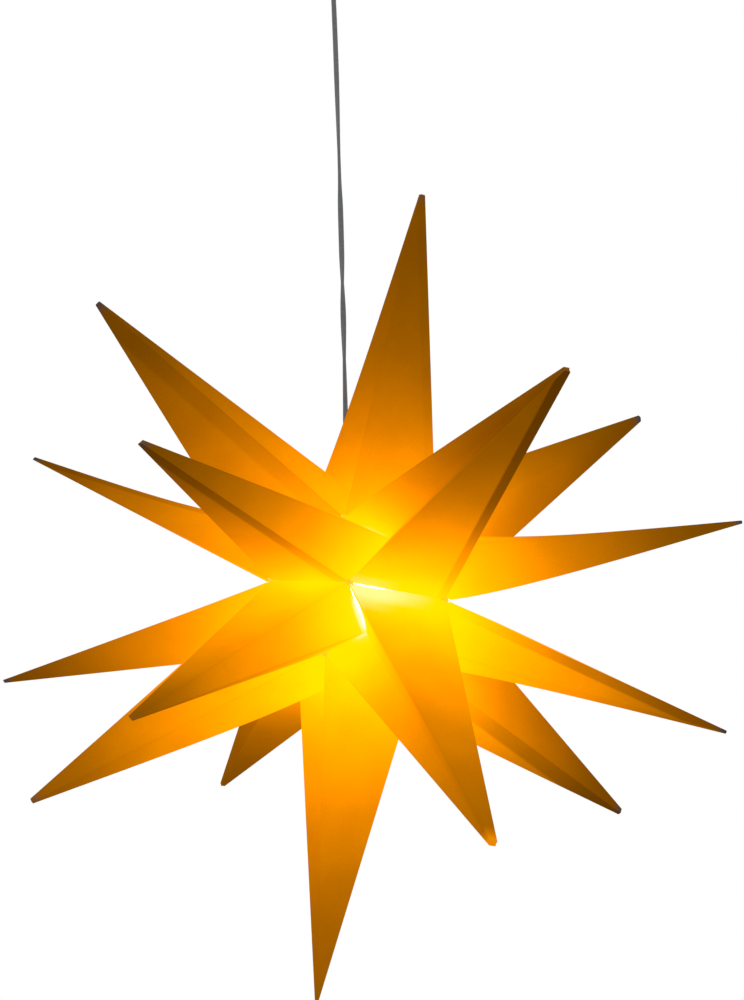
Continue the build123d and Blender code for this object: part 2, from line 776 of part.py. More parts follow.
with BuildPart() as cord_swivel:
    with BuildSketch(outlet_section):
        with BuildLine():
            edge = ball_reach(BALL_RADIUS, ring_half)
            ThreePointArc((edge, -ring_half), (BALL_RADIUS, 0), (edge, ring_half))
            Polyline(
                (edge, ring_half),
                (ball_mouth, ring_half),
                (ball_bore, 0),
                (ball_mouth, -ring_half),
                (edge, -ring_half),
            )
        make_face()
    revolve(axis=Axis(pivot, (0, 0, 1)))
cord_swivel.part.label = "cord_swivel"
export_step(cord_swivel.part, "parts/cord_swivel.step")

with BuildPart() as outlet_bushing:
    with BuildSketch(outlet_section):
        with BuildLine():
            low_edge = ball_reach(seat_radius, SEAT_DROP)
            high_edge = ball_reach(seat_radius, SEAT_RISE)
            ThreePointArc((low_edge, -SEAT_DROP), (seat_radius, 0), (high_edge, SEAT_RISE))
            Polyline(
                (high_edge, SEAT_RISE),
                (neck_bore, SEAT_RISE),
                (neck_bore, NECK_TOP),
                (neck_radius, NECK_TOP),
                (neck_radius, floor_low),
                (flange_radius, floor_low),
                (flange_radius, -SEAT_DROP),
                (low_edge, -SEAT_DROP),
            )
        make_face()
    revolve(axis=Axis(pivot, (0, 0, 1)))
outlet_bushing.part.label = "outlet_bushing"
export_step(outlet_bushing.part, "parts/outlet_bushing.step")

with BuildPart() as seat_ring:
    with BuildSketch(outlet_section):
        with BuildLine():
            top_edge = ball_reach(seat_radius, SEAT_DROP)
            middle_rise = (SEAT_RISE + SEAT_DROP) / 2
            ThreePointArc(
                (high_edge, SEAT_RISE),
                (ball_reach(seat_radius, middle_rise), middle_rise),
                (top_edge, SEAT_DROP),
            )
            Polyline(
                (top_edge, SEAT_DROP),
                (top_edge, NECK_TOP),
                (neck_bore - CORD_FIT, NECK_TOP),
                (neck_bore - CORD_FIT, SEAT_RISE),
                (high_edge, SEAT_RISE),
            )
        make_face()
    revolve(axis=Axis(pivot, (0, 0, 1)))
seat_ring.part.label = "seat_ring"
export_step(seat_ring.part, "parts/seat_ring.step")

grip_bore = CORD_RADIUS + CORD_FIT
grip_radius = neck_radius + GRIP_WALL
grip_spot = pivot + Vector(0, 0, GRIP_SCREW_RISE)
with BuildPart() as cord_grip:
    turned(
        outlet,
        [
            (grip_bore, NECK_TOP),
            (neck_radius + CORD_FIT, NECK_TOP),
            (neck_radius + CORD_FIT, floor_high),
            (grip_radius, floor_high),
            (grip_radius, GRIP_TOP - GRIP_SLOPE),
            (neck_radius - GRIP_NARROWING, GRIP_TOP),
            (grip_bore, GRIP_TOP),
        ],
    )
    with Locations(Plane(grip_spot, z_dir=(1, 0, 0)).location):
        Cylinder(
            SMALL_SCREW_RADIUS + SMALL_SCREW_CLEAR,
            2 * grip_radius,
            align=(Align.CENTER, Align.CENTER, Align.MIN),
            mode=Mode.SUBTRACT,
        )
cord_grip.part.label = "cord_grip"
export_step(cord_grip.part, "parts/cord_grip.step")

with BuildPart() as grip_screw:
    with BuildSketch(Plane(grip_spot + Vector(CORD_RADIUS, 0, 0), z_dir=(1, 0, 0))):
        Circle(SMALL_SCREW_RADIUS)
    extrude(amount=grip_radius + GRIP_SCREW_STICKS_OUT - CORD_RADIUS)
grip_screw.part.label = "grip_screw"
export_step(grip_screw.part, "parts/grip_screw.step")

# Fixed tail of the cord above the swivel, and its two cores.
tail_low = CORD_RADIUS + TAIL_GAP
tail_high = PIVOT_DEPTH - TAIL_DEPTH
with BuildPart() as cord_tail:
    with BuildSketch(outlet.offset(tail_low)):
        Circle(CORD_RADIUS)
    extrude(amount=tail_high - tail_low)
cord_tail.part.label = "cord_tail"
export_step(cord_tail.part, "parts/cord_tail.step")

block_start = BRACKET_HALF - BLOCK_INSET - BLOCK_LENGTH
block_low = -BRACKET_THICK - BLOCK_HEIGHT
core_underside = -BLOCK_CORE_DEPTH - CORE_RADIUS - SCREW_TIP_GAP
with BuildPart() as core_tails:
    for side in (-1, 1):
        with BuildLine() as tail_path:
            FilletPolyline(
                (0, side * CORE_SIDE, -TAIL_DEPTH),
                (0, side * CORE_SIDE, -BLOCK_CORE_DEPTH),
                (block_start - BLOCK_CORE_LEAD, side * BLOCK_CORE_SIDE, -BLOCK_CORE_DEPTH),
                (block_start + BLOCK_CORE_ENTRY, side * BLOCK_CORE_SIDE, -BLOCK_CORE_DEPTH),
                radius=CORE_BEND,
            )
        with BuildSketch(Plane(tail_path.line @ 0, z_dir=tail_path.line % 0)):
            Circle(CORE_RADIUS)
        sweep(path=tail_path.line)
core_tails.part.label = "core_tails"
export_step(core_tails.part, "parts/core_tails.step")

block_centre = (block_start + BLOCK_LENGTH / 2, 0, block_low + BLOCK_HEIGHT / 2)
screw_spots = [
    (block_start + along, side * BLOCK_CORE_SIDE)
    for along in (BLOCK_SCREW_INSET, BLOCK_LENGTH - BLOCK_SCREW_INSET)
    for side in (-1, 1)
]
with BuildPart() as terminal_block:
    with Locations(block_centre):
        Box(BLOCK_LENGTH, BLOCK_WIDTH, BLOCK_HEIGHT)
    for side in (-1, 1):
        core_entry = (block_start, side * BLOCK_CORE_SIDE, -BLOCK_CORE_DEPTH)
        with Locations(Plane(core_entry, z_dir=(1, 0, 0)).location):
            Cylinder(
                CORE_RADIUS + SHANK_CLEAR,
                BLOCK_LENGTH,
                align=(Align.CENTER, Align.CENTER, Align.MIN),
                mode=Mode.SUBTRACT,
            )
    with BuildSketch(Plane.XY.offset(block_low)):
        with Locations(*screw_spots):
            Circle(BLOCK_SCREW_RADIUS + BLOCK_SCREW_CLEAR)
    extrude(amount=core_underside - block_low, mode=Mode.SUBTRACT)
terminal_block.part.label = "terminal_block"
export_step(terminal_block.part, "parts/terminal_block.step")

screw_low = block_low + BLOCK_SCREW_SINK
with BuildPart() as terminal_screws:
    with BuildSketch(Plane.XY.offset(screw_low)):
        with Locations(*screw_spots):
            Circle(BLOCK_SCREW_RADIUS)
    extrude(amount=core_underside - screw_low)
    with BuildSketch(Plane.XY.offset(screw_low)):
        with Locations(*screw_spots):
            Rectangle(SCREW_SLOT_LENGTH, SCREW_SLOT_WIDTH)
    extrude(amount=SCREW_SLOT_WIDTH, mode=Mode.SUBTRACT)
terminal_screws.part.label = "terminal_screws"
export_step(terminal_screws.part, "parts/terminal_screws.step")

with BuildPart() as ceiling_bracket:
    with Locations((0, 0, -BRACKET_THICK / 2)):
        Box(2 * BRACKET_HALF, BRACKET_WIDTH, BRACKET_THICK)
    for side in (-1, 1):
        with Locations((side * (BRACKET_HALF - BRACKET_THICK / 2), 0, -BRACKET_TAB / 2)):
            Box(BRACKET_THICK, BRACKET_WIDTH, BRACKET_TAB)
        with Locations((side * MOUNT_SPACING / 2, 0, 0)):
            Cylinder(MOUNT_HOLE, 4 * BRACKET_THICK, mode=Mode.SUBTRACT)
        with Locations((side * BRACKET_HALF, 0, -CANOPY_SCREW_DEPTH)):
            Cylinder(
                SMALL_SCREW_RADIUS + SMALL_SCREW_CLEAR,
                4 * BRACKET_THICK,
                rotation=(0, 90, 0),
                mode=Mode.SUBTRACT,
            )
ceiling_bracket.part.label = "ceiling_bracket"
export_step(ceiling_bracket.part, "parts/ceiling_bracket.step")

canopy_bore = CANOPY_RADIUS - CANOPY_WALL
shoulder = CANOPY_DEPTH - CANOPY_SHOULDER
with BuildPart() as canopy:
    turned(
        ceiling,
        [
            (CANOPY_RADIUS, 0),
            (CANOPY_RADIUS, -shoulder),
            (CANOPY_RADIUS - CANOPY_TAPER, -CANOPY_DEPTH),
            (OUTLET_RADIUS, -CANOPY_DEPTH),
            (OUTLET_RADIUS, -CANOPY_DEPTH + CANOPY_WALL),
            (CANOPY_RADIUS - CANOPY_TAPER - CANOPY_WALL / 3, -CANOPY_DEPTH + CANOPY_WALL),
            (canopy_bore, -shoulder + CANOPY_WALL / 3),
            (canopy_bore, 0),
        ],
    )
    for side in (-1, 1):
        with Locations((side * CANOPY_RADIUS, 0, -CANOPY_SCREW_DEPTH)):
            Cylinder(
                SMALL_SCREW_RADIUS + CANOPY_HOLE_CLEAR,
                5 * CANOPY_WALL,
                rotation=(0, 90, 0),
                mode=Mode.SUBTRACT,
            )
canopy.part.label = "canopy"
export_step(canopy.part, "parts/canopy.step")

with BuildPart() as canopy_screws:
    for side in (-1, 1):
        screw_end = BRACKET_HALF - BRACKET_THICK - CANOPY_SCREW_TAIL
        start = Vector(side * screw_end, 0, -CANOPY_SCREW_DEPTH)
        with BuildSketch(Plane(start, z_dir=(side, 0, 0))):
            Circle(SMALL_SCREW_RADIUS)
        extrude(amount=CANOPY_RADIUS - screw_end)
        head = Vector(side * CANOPY_RADIUS, 0, -CANOPY_SCREW_DEPTH)
        with BuildSketch(Plane(head, z_dir=(side, 0, 0))):
            Circle(CANOPY_SCREW_HEAD)
        extrude(amount=CANOPY_SCREW_HEAD_THICK)
canopy_screws.part.label = "canopy_screws"
export_step(canopy_screws.part, "parts/canopy_screws.step")
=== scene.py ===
import math
import random

import bpy
import numpy as np
from mathutils import Matrix, Vector


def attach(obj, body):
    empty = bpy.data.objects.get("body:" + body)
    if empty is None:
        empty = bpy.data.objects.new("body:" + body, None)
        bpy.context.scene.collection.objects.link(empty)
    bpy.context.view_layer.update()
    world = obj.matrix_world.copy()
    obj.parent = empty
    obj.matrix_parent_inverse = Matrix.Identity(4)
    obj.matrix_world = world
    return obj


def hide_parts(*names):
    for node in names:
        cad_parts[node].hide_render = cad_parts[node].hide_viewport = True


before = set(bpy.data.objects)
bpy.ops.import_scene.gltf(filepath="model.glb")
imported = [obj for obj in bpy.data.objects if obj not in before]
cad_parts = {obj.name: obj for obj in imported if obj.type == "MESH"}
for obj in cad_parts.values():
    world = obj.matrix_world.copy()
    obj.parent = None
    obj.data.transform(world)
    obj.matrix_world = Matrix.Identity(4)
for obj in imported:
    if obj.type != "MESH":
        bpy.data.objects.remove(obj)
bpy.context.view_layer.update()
MM = 0.001

# The star's own frame: pole axis nearly level, seam direction up to the lamp holder.
STAR_CENTRE = np.array([0.0, 0.0, -0.700])
STAR_YAW = math.radians(25.6)
STAR_LEAN = math.radians(-5.15)
GORES = 6
SEAM_SPREAD = 12.0
RING_TWIST = 2.5
MIDDLE_TIP = 285 * MM
SIDE_TIP = 270 * MM
LEFT_LATITUDE = 52.0
RIGHT_LATITUDE = 56.0
LEFT_VERTEX_AXIAL = 34.7 * MM
RIGHT_VERTEX_AXIAL = 39.5 * MM
VERTEX_RADIAL = 56.9 * MM
POLE_RADIUS = 67 * MM
PLEAT_AXIAL = 14 * MM
PLEAT_RADIAL = 67 * MM
# Lean of each point along its ring and towards the right pole in degrees, and extra length in mm.
MIDDLE_LEAN = [(-1, 2, -1), (-1, 1.6, 0), (0, -1.8, 0), (0.8, -0.6, 0), (-1.2, 0, 0), (0, 0, 0)]
LEFT_LEAN = [(-1.5, 0, 3.5), (0.5, -1, 0), (-1, 3, 0), (0, -1.5, 0), (-1, 1, 0), (-2, 3, -1.5)]
RIGHT_LEAN = [(-3.5, -1, -2), (1, 0.5, 0.5), (0, -0.5, 1.5), (2, 2, -1.5), (0, 0, 0), (0, 0, 0)]
# Small shift of some left corners, in mm along the pole axis and degrees round it.
LEFT_RING_SHIFT = {1: (3.5, 1), 2: (0.5, -4.5), 3: (-1, -5.5), 4: (5.5, 6)}
LEFT_PLEAT_SHIFT = {1: (6.5, -4.5), 2: (-5, -4.5)}

# Corners of a middle point: six, two of them pleats, and the facet that lies at the seam.
MIDDLE_CORNERS = 6
MIDDLE_PLEATS = (1, 4)
SEAM_FACET = 5

# The folded sheet: lap over the next point's edge, thickness, the stretch beside a fold where it
# is pressed thin and the share of its thickness left there.
EDGE_LAP = 0.1 * MM
SHEET = 0.6 * MM
FOLD_PRESS = 2.5 * MM
FOLD_SHEET = 0.03
# A place inside each point, by its share of the way from the star's centre to the point's base.
CORE_SHARE = 0.75
SHARP_ANGLE = math.radians(32)

# Blunt tip: width against the base, usual and on slimmer points, what is left of a pleat there,
# the length where it is solid, and its softened rim.
TIP_WIDTH_RATIO = 0.06
SLIM_TIPS = {
    "middle_point_1": 0.048,
    "middle_point_4": 0.033,
    "middle_point_5": 0.047,
    "left_point_1": 0.045,
    "left_point_4": 0.045,
    "left_point_5": 0.045,
    "left_point_6": 0.045,
    "right_point_2": 0.045,
    "right_point_3": 0.045,
}
TIP_PLEAT_SHARE = 0.3
TIP_SOLID = 14 * MM
TIP_RIM = 0.82
TIP_ROUND = 0.25 * MM

# Soft bow of a fold, by point and base corner; outwards is positive and it is fullest near the base.
BOW_SKEW = 0.6
BOWS = {
    "middle_point_1": {0: -3.5 * MM},
    "middle_point_2": {0: 2 * MM, 5: 2 * MM},
    "left_point_1": {0: 2 * MM},
    "left_point_4": {0: -1.2 * MM, 2: 3.5 * MM},
    "left_point_5": {0: -1.2 * MM},
    "left_point_6": {3: -11 * MM},
    "right_point_2": {1: -7 * MM, 3: 5 * MM},
    "right_point_3": {1: -0.5 * MM, 3: -3 * MM},
    "right_point_4": {2: 2.5 * MM},
}
# Slight crown of a facet against its width, and the share of its length over which it sets in.
CROWN_RANGE = (-0.004, 0.022)
CROWN_EASE = 0.2
# Base edges that gape and let the lamp show: opening, where along the edge it is widest, spread.
SLIT_EASE = 6
SLITS = {
    ("middle_point_3", 5): (1.3 * MM, 0.85, 0.3),
    ("middle_point_3", 0): (3.3 * MM, 0.62, 0.34),
    ("left_point_3", 1): (0.6 * MM, 0.62, 0.34),
    ("middle_point_2", 0): (2.2 * MM, 0.76, 0.18),
}

# Glued overlap strip along one fold: width, start beside the fold, its two faces in sheets below
# the outside, and its stations along the fold.
FLAP_WIDTH = 7 * MM
FLAP_INSET = 1.5 * MM
FLAP_DEPTHS = (1.15, 1.65)
FLAP_SHARES = [0.1 + 0.05 * i for i in range(15)]
# Painted shadow of the glued strip through the doubled sheet: width against the usual one,
# darkening near the base and further on.
SHADOW_EASE = 0.5
STRIP_SHADOW = (1.0, 0.17, 0.36)
STRIP_SHADOWS = {
    "middle_point_1": (1.0, 0.03, 0.06),
    "middle_point_2": (1.0, 0.12, 0.5),
    "left_point_1": (1.5, 0.07, 0.14),
    "left_point_2": (1.45, 0.12, 0.34),
    "left_point_6": (1.0, 0.1, 0.2),
    "right_point_3": (1.0, 0.04, 0.36),
    "right_point_4": (1.6, 0.12, 0.34),
}

# Room of a stud outside and inside the sheet, and the reach of the corner tab that it grips.
CORNER_ROOM = (1.8 * MM, 2.6 * MM, 4.6 * MM)
POLE_ROOM = (2.4 * MM, 3.4 * MM, 5.2 * MM)
TAB_ROOT = 0.2 * MM
TAB_STEPS = (0, 0.25, 0.5, 0.75, 1.0)
# Room of the lamp holder, and the hem of the two seam points on the hanger plate.
NOTCH_RADIUS = 18.5 * MM
HEM_SIZE = (56 * MM, 9 * MM)
HEM_HEIGHT = 56.8 * MM
HEM_GAP = 0.5 * MM
HEM_TRIM = 1.5 * MM

# Mesh lines: shares from base to tip, places along a base edge, how close two of them may lie,
# and how far up and how finely a line is tried for the room of studs and holder.
LEVELS = np.array(
    [0, 0.006, 0.02, 0.045, 0.08] + [0.12 + 0.04 * i for i in range(21)] + [0.95, 0.975, 0.99, 1.0]
)
EDGE_STEPS = (0.7 * MM, 1.8 * MM, 3.0 * MM, 4.4 * MM, 6.4 * MM)
INNER_STEPS = (0.14, 0.22, 0.3, 0.4, 0.5, 0.6, 0.7, 0.78, 0.86)
SEAM_STEPS = [0.02 + 0.04 * i for i in range(25)]
LAST_COLUMN = 0.999
COLUMN_GAP = 0.012
FOLD_COLUMNS = 0.02
CUT_SHARE = 0.35
CUT_TRIES = 240

# Light through the sheet: brightness near the lamp with its soft ceiling, loss up behind the
# holder and gain downwards, and how far along a point it falls off.
GLOW_LEVEL = 2.4
GLOW_CAP = 2.65
GLOW_KNEE = 0.5
GLOW_FROM = 70 * MM
GLOW_LOSS_UP = 0.9
GLOW_GAIN_DOWN = 0.55
MIDDLE_FADE = 43 * MM
SIDE_FADE = 57 * MM
FADE_DOWN = 20 * MM
FADE_DOWN_FULL = 0.5
# What is left all along a middle point, and how much darker a side point is at its tip and
# the sheet is at the poles, each with the share where it sets in.
MIDDLE_FLOOR = 0.06
SIDE_TIP_DIM = 0.45
SIDE_DIM_FROM = 0.6
POLE_DIM = 0.22
POLE_DIM_FROM = 0.75
# Painted light and shade: facets that lie a little darker or lighter than their neighbours; the
# others vary by chance.
TONE_RANGE = (0.97, 1.03)
FACET_LIGHTING = {
    ("middle_point_1", 1): 1.03,
    ("middle_point_1", 2): 0.95,
    ("middle_point_2", 0): 0.97,
    ("middle_point_2", 2): 0.9,
    ("middle_point_3", 1): 1.05,
    ("middle_point_3", 5): 0.95,
    ("middle_point_4", 5): 0.96,
    ("middle_point_5", 0): 1.2,
    ("middle_point_5", 1): 1.2,
    ("middle_point_5", 5): 0.93,
    ("left_point_1", 2): 0.95,
    ("left_point_1", 3): 0.82,
    ("left_point_2", 2): 1.04,
    ("left_point_2", 3): 0.93,
    ("left_point_3", 0): 1.0,
    ("left_point_3", 1): 1.0,
    ("left_point_3", 2): 0.82,
    ("left_point_4", 0): 0.99,
    ("left_point_4", 1): 0.98,
    ("left_point_6", 3): 0.9,
    ("right_point_1", 1): 1.24,
    ("right_point_1", 2): 0.9,
    ("right_point_4", 0): 0.68,
    ("right_point_4", 1): 0.84,
}
# Light through each point against an even spread, at its base and at its tip.
POINT_LIGHT = {
    "middle_point_1": (0.85, 1.1),
    "middle_point_2": (1.06, 0.97),
    "middle_point_3": (1.08, 1.4),
    "middle_point_4": (0.88, 1.0),
    "middle_point_5": (1.0, 1.25),
    "left_point_1": (0.9, 1.2),
    "left_point_2": (0.97, 0.82),
    "left_point_3": (1.05, 1.15),
    "left_point_4": (1.05, 1.12),
    "left_point_5": (1.05, 1.2),
    "left_point_6": (0.92, 1.7),
    "right_point_1": (0.72, 1.15),
    "right_point_2": (1.05, 0.62),
    "right_point_3": (1.1, 1.1),
    "right_point_4": (1.3, 0.55),
}
# How far a tip is pressed together, which keeps the light out and turns it grey; light caught at
# a blunt tip; the shares of the length where both set in.
TIP_PRESS = {
    "middle_point_1": 0.35,
    "middle_point_2": 0.15,
    "left_point_1": 0.8,
    "left_point_2": 0.6,
    "left_point_3": 0.1,
    "left_point_4": 0.5,
    "right_point_4": 0.8,
}
SIDE_PRESS = 1.0
TIP_PRESS_FROM = 0.965
TIP_GLOW = {"middle_point_3": 0.45}
TIP_GLOW_FROM = 0.96
TIP_EASE = 0.03
# White light washed over the sheet beside an open edge: strength, reach into the sheet at the
# edge's two corners, start and end along the edge.
WASH_EASE = 0.3
WASH_SOFT = 0.6
WASHES = {
    ("middle_point_3", 5): [(0.2, (8.5 * MM, 28 * MM), 0.1, 1.3), (0.2, (8.5 * MM, 28 * MM), 0.35, 1.3)],
    ("middle_point_3", 0): [(0.30, (4 * MM, 4 * MM), 0.2, 1.1)],
    ("left_point_3", 1): [(0.55, (4.5 * MM, 4.5 * MM), 0.2, 1.1)],
    ("left_point_3", 2): [(0.35, (5 * MM, 5 * MM), -0.2, 0.35)],
    ("middle_point_3", 1): [(0.40, (5 * MM, 5 * MM), -0.2, 0.35)],
    ("middle_point_2", 0): [(0.50, (1.6 * MM, 1.6 * MM), 0.36, 0.98)],
    ("left_point_2", 1): [(0.25, (1.4 * MM, 1.4 * MM), 0.4, 0.98)],
    ("middle_point_2", 2): [(0.12, (8 * MM, 8 * MM), -0.2, 0.5)],
}
# The inside of the sheet: gain on the outside's light, and white light that fades from the lamp.
INSIDE_GAIN = 1.3
INSIDE_WHITE = 1.6
INSIDE_FADE = 40 * MM
# Even light and white leak of the strip, the corner tabs and the hem.
STRIP_LIGHT = (2.0, 0.5)
TAB_LIGHT = (2.2, 0.04)
HEM_LIGHT = (0.7, 0.0)
# The painted attribute lay holds metres times this scale, and this value where nothing is near.
LAY_SCALE = 10
FAR_OFF = 0.99


# The star's frame and corners
def star_dir(axial, away, up):
    x = axial * math.cos(STAR_LEAN) + up * math.sin(STAR_LEAN)
    z = -axial * math.sin(STAR_LEAN) + up * math.cos(STAR_LEAN)
    return np.array([
        x * math.cos(STAR_YAW) - away * math.sin(STAR_YAW),
        x * math.sin(STAR_YAW) + away * math.cos(STAR_YAW),
        z,
    ])


POLE_DIR = star_dir(1, 0, 0)
AWAY_DIR = star_dir(0, 1, 0)
SEAM_DIR = star_dir(0, 0, 1)


def unit(v):
    return v / np.linalg.norm(v)


def in_star(axial, away, up):
    return STAR_CENTRE + star_dir(axial, away, up)


def around(angle, axial, radial):
    a = math.radians(angle)
    return in_star(axial, -radial * math.sin(a), radial * math.cos(a))


def tip_direction(angle, latitude):
    lat = math.radians(latitude)
    return around(angle, math.sin(lat), math.cos(lat)) - STAR_CENTRE


gore_pitch = (360.0 - SEAM_SPREAD) / GORES
gore_angles = [SEAM_SPREAD / 2 + gore_pitch * (k + 0.5) for k in range(GORES)]
edge_angles = [0.0] + [SEAM_SPREAD / 2 + gore_pitch * k for k in range(1, GORES)]


def ring_vertex(k, side):
    angle = edge_angles[k % GORES]
    if side > 0:
        return around(angle, RIGHT_VERTEX_AXIAL, VERTEX_RADIAL)
    shift, turn = LEFT_RING_SHIFT.get(k % GORES, (0, 0))
    return around(angle + turn, shift * MM - LEFT_VERTEX_AXIAL, VERTEX_RADIAL)


def pleat_vertex(k, side):
    shift, turn = LEFT_PLEAT_SHIFT.get(k, (0, 0)) if side < 0 else (0, 0)
    return around(gore_angles[k] + turn, side * PLEAT_AXIAL + shift * MM, PLEAT_RADIAL)


def pole_vertex(side):
    return in_star(side * POLE_RADIUS, 0, 0)


def on_plane(start, end, origin, normal):
    return start + (end - start) * (normal @ (origin - start)) / (normal @ (end - start))


def smooth(x):
    x = np.clip(x, 0, 1)
    return x * x * (3 - 2 * x)


def add_object(name, data):
    obj = bpy.data.objects.new(name, data)
    bpy.context.scene.collection.objects.link(obj)
    return obj


# Materials: detail of the noise, its values between which a mottled surface changes, the change of
# gloss, bump height.
MOTTLE_DETAIL = 5.0
MOTTLE = (0.3, 0.7)
ROUGH_SPREAD = 0.06
BUMP_HEIGHT = 0.0004
# The film: colour of the light through it and of the white leak, its own colour, its pressed tip.
FILM_LIGHT = (1.0, 0.285, 0.0)
FILM_LEAK = (1.0, 0.45, 0.72)
FILM_DARK = (0.20, 0.072, 0.0)
FILM_PALE = (0.26, 0.096, 0.0)
FILM_PRESSED = (0.095, 0.085, 0.075)
PRESSED_LIGHT = 0.15
# Soft edges of the painted shadow of the doubled strip and of the painted shade along the crease
# of a fold, and the light left in that shade.
STRIP_EDGE = (6.2 * MM, 8.2 * MM)
CREASE_EDGE = (0.2 * MM, 1.4 * MM)
CREASE_LIGHT = 0.95
# Cloud and grain of the film: scale and detail of their noise, how far each changes the light.
CLOUD = (26.0, 4.0)
GRAIN = (900.0, 3.0)
CLOUD_LIGHT = (0.95, 1.05)
GRAIN_LIGHT = (0.97, 1.03)
# Middle and half width of the film's colour ramp, its gloss, share of the grain in its bump,
# strength and height of that bump.
RAMP_MIDDLE = 0.5
RAMP_SPREAD = 0.06
FILM_ROUGH = 0.5
GRAIN_SHARE = 0.25
FILM_BUMP = (0.12, 0.001)


def new_material(name):
    mat = bpy.data.materials.new(name)
    mat.use_nodes = True
    tree = mat.node_tree
    return mat, tree, tree.nodes["Principled BSDF"]


def node(tree, kind, **values):
    made = tree.nodes.new(kind)
    for key, value in values.items():
        if key in made.inputs:
            made.inputs[key].default_value = value
        else:
            setattr(made, key, value)
    return made


def noise_of(tree, scale, detail, stretch=None):
    out = node(tree, "ShaderNodeTexCoord").outputs["Object"]
    if stretch is not None:
        mapping = node(tree, "ShaderNodeMapping", Scale=stretch)
        tree.links.new(out, mapping.inputs["Vector"])
        out = mapping.outputs["Vector"]
    tex = node(tree, "ShaderNodeTexNoise", Scale=scale, Detail=detail)
    tree.links.new(out, tex.inputs["Vector"])
    return tex.outputs["Fac"]


def ramp(tree, fac, stops):
    made = node(tree, "ShaderNodeValToRGB")
    for element, (pos, colour) in zip(made.color_ramp.elements, stops):
        element.position = pos
        element.color = (*colour, 1.0)
    tree.links.new(fac, made.inputs["Fac"])
    return made.outputs["Color"]


def map_range(tree, value, low, high, to_low, to_high, eased=True):
    made = node(tree, "ShaderNodeMapRange")
    made.interpolation_type = "SMOOTHSTEP" if eased else "LINEAR"
    for key, number in (("From Min", low), ("From Max", high), ("To Min", to_low), ("To Max", to_high)):
        made.inputs[key].default_value = number
    tree.links.new(value, made.inputs["Value"])
    return made.outputs["Result"]


def math_node(tree, kind, *values):
    made = node(tree, "ShaderNodeMath", operation=kind)
    for socket, value in zip(made.inputs, values):
        if isinstance(value, (int, float)):
            socket.default_value = value
        else:
            tree.links.new(value, socket)
    return made.outputs["Value"]


def product(tree, first, *others):
    for other in others:
        first = math_node(tree, "MULTIPLY", first, other)
    return first


def scaled_colour(tree, colour, amount):
    made = node(tree, "ShaderNodeVectorMath", operation="SCALE")
    made.inputs[0].default_value = colour
    tree.links.new(amount, made.inputs["Scale"])
    return made.outputs["Vector"]


def mixed(tree, kind, factor, first, second):
    """Colour mix; the factor and the second colour may be plain values."""
    made = node(tree, "ShaderNodeMix", data_type="RGBA", blend_type=kind)
    colour_sockets = [socket for socket in made.inputs if socket.type == "RGBA"]
    for socket, value in zip([made.inputs["Factor"]] + colour_sockets, (factor, first, second)):
        if isinstance(value, (float, tuple)):
            socket.default_value = value
        else:
            tree.links.new(value, socket)
    return next(socket for socket in made.outputs if socket.type == "RGBA")


def add_bump(tree, shader, height, strength, distance):
    bump = node(tree, "ShaderNodeBump", Strength=strength, Distance=distance)
    tree.links.new(height, bump.inputs["Height"])
    tree.links.new(bump.outputs["Normal"], shader.inputs["Normal"])


def simple_material(name, light, dark, scale, rough, metallic=0.0, bump=0.1, stretch=None, glow=None,
                    specular=0.5):
    """Mottled surface between two colours, with its gloss and a fine bump."""
    mat, tree, shader = new_material(name)
    fac = noise_of(tree, scale, MOTTLE_DETAIL, stretch)
    gloss = map_range(tree, fac, *MOTTLE, rough - ROUGH_SPREAD, rough + ROUGH_SPREAD)
    tree.links.new(ramp(tree, fac, list(zip(MOTTLE, (dark, light)))), shader.inputs["Base Color"])
    tree.links.new(gloss, shader.inputs["Roughness"])
    shader.inputs["Metallic"].default_value = metallic
    shader.inputs["Specular IOR Level"].default_value = specular
    add_bump(tree, shader, fac, bump, BUMP_HEIGHT)
    if glow:
        shader.inputs["Emission Color"].default_value = (*glow[0], 1.0)
        shader.inputs["Emission Strength"].default_value = glow[1]
    return mat


def painted(tree, name):
    """Red, green, blue and alpha of a painted attribute."""
    source = node(tree, "ShaderNodeAttribute", attribute_name=name)
    parts = node(tree, "ShaderNodeSeparateColor")
    tree.links.new(source.outputs["Color"], parts.inputs["Color"])
    return [parts.outputs[c] for c in ("Red", "Green", "Blue")] + [source.outputs["Alpha"]]


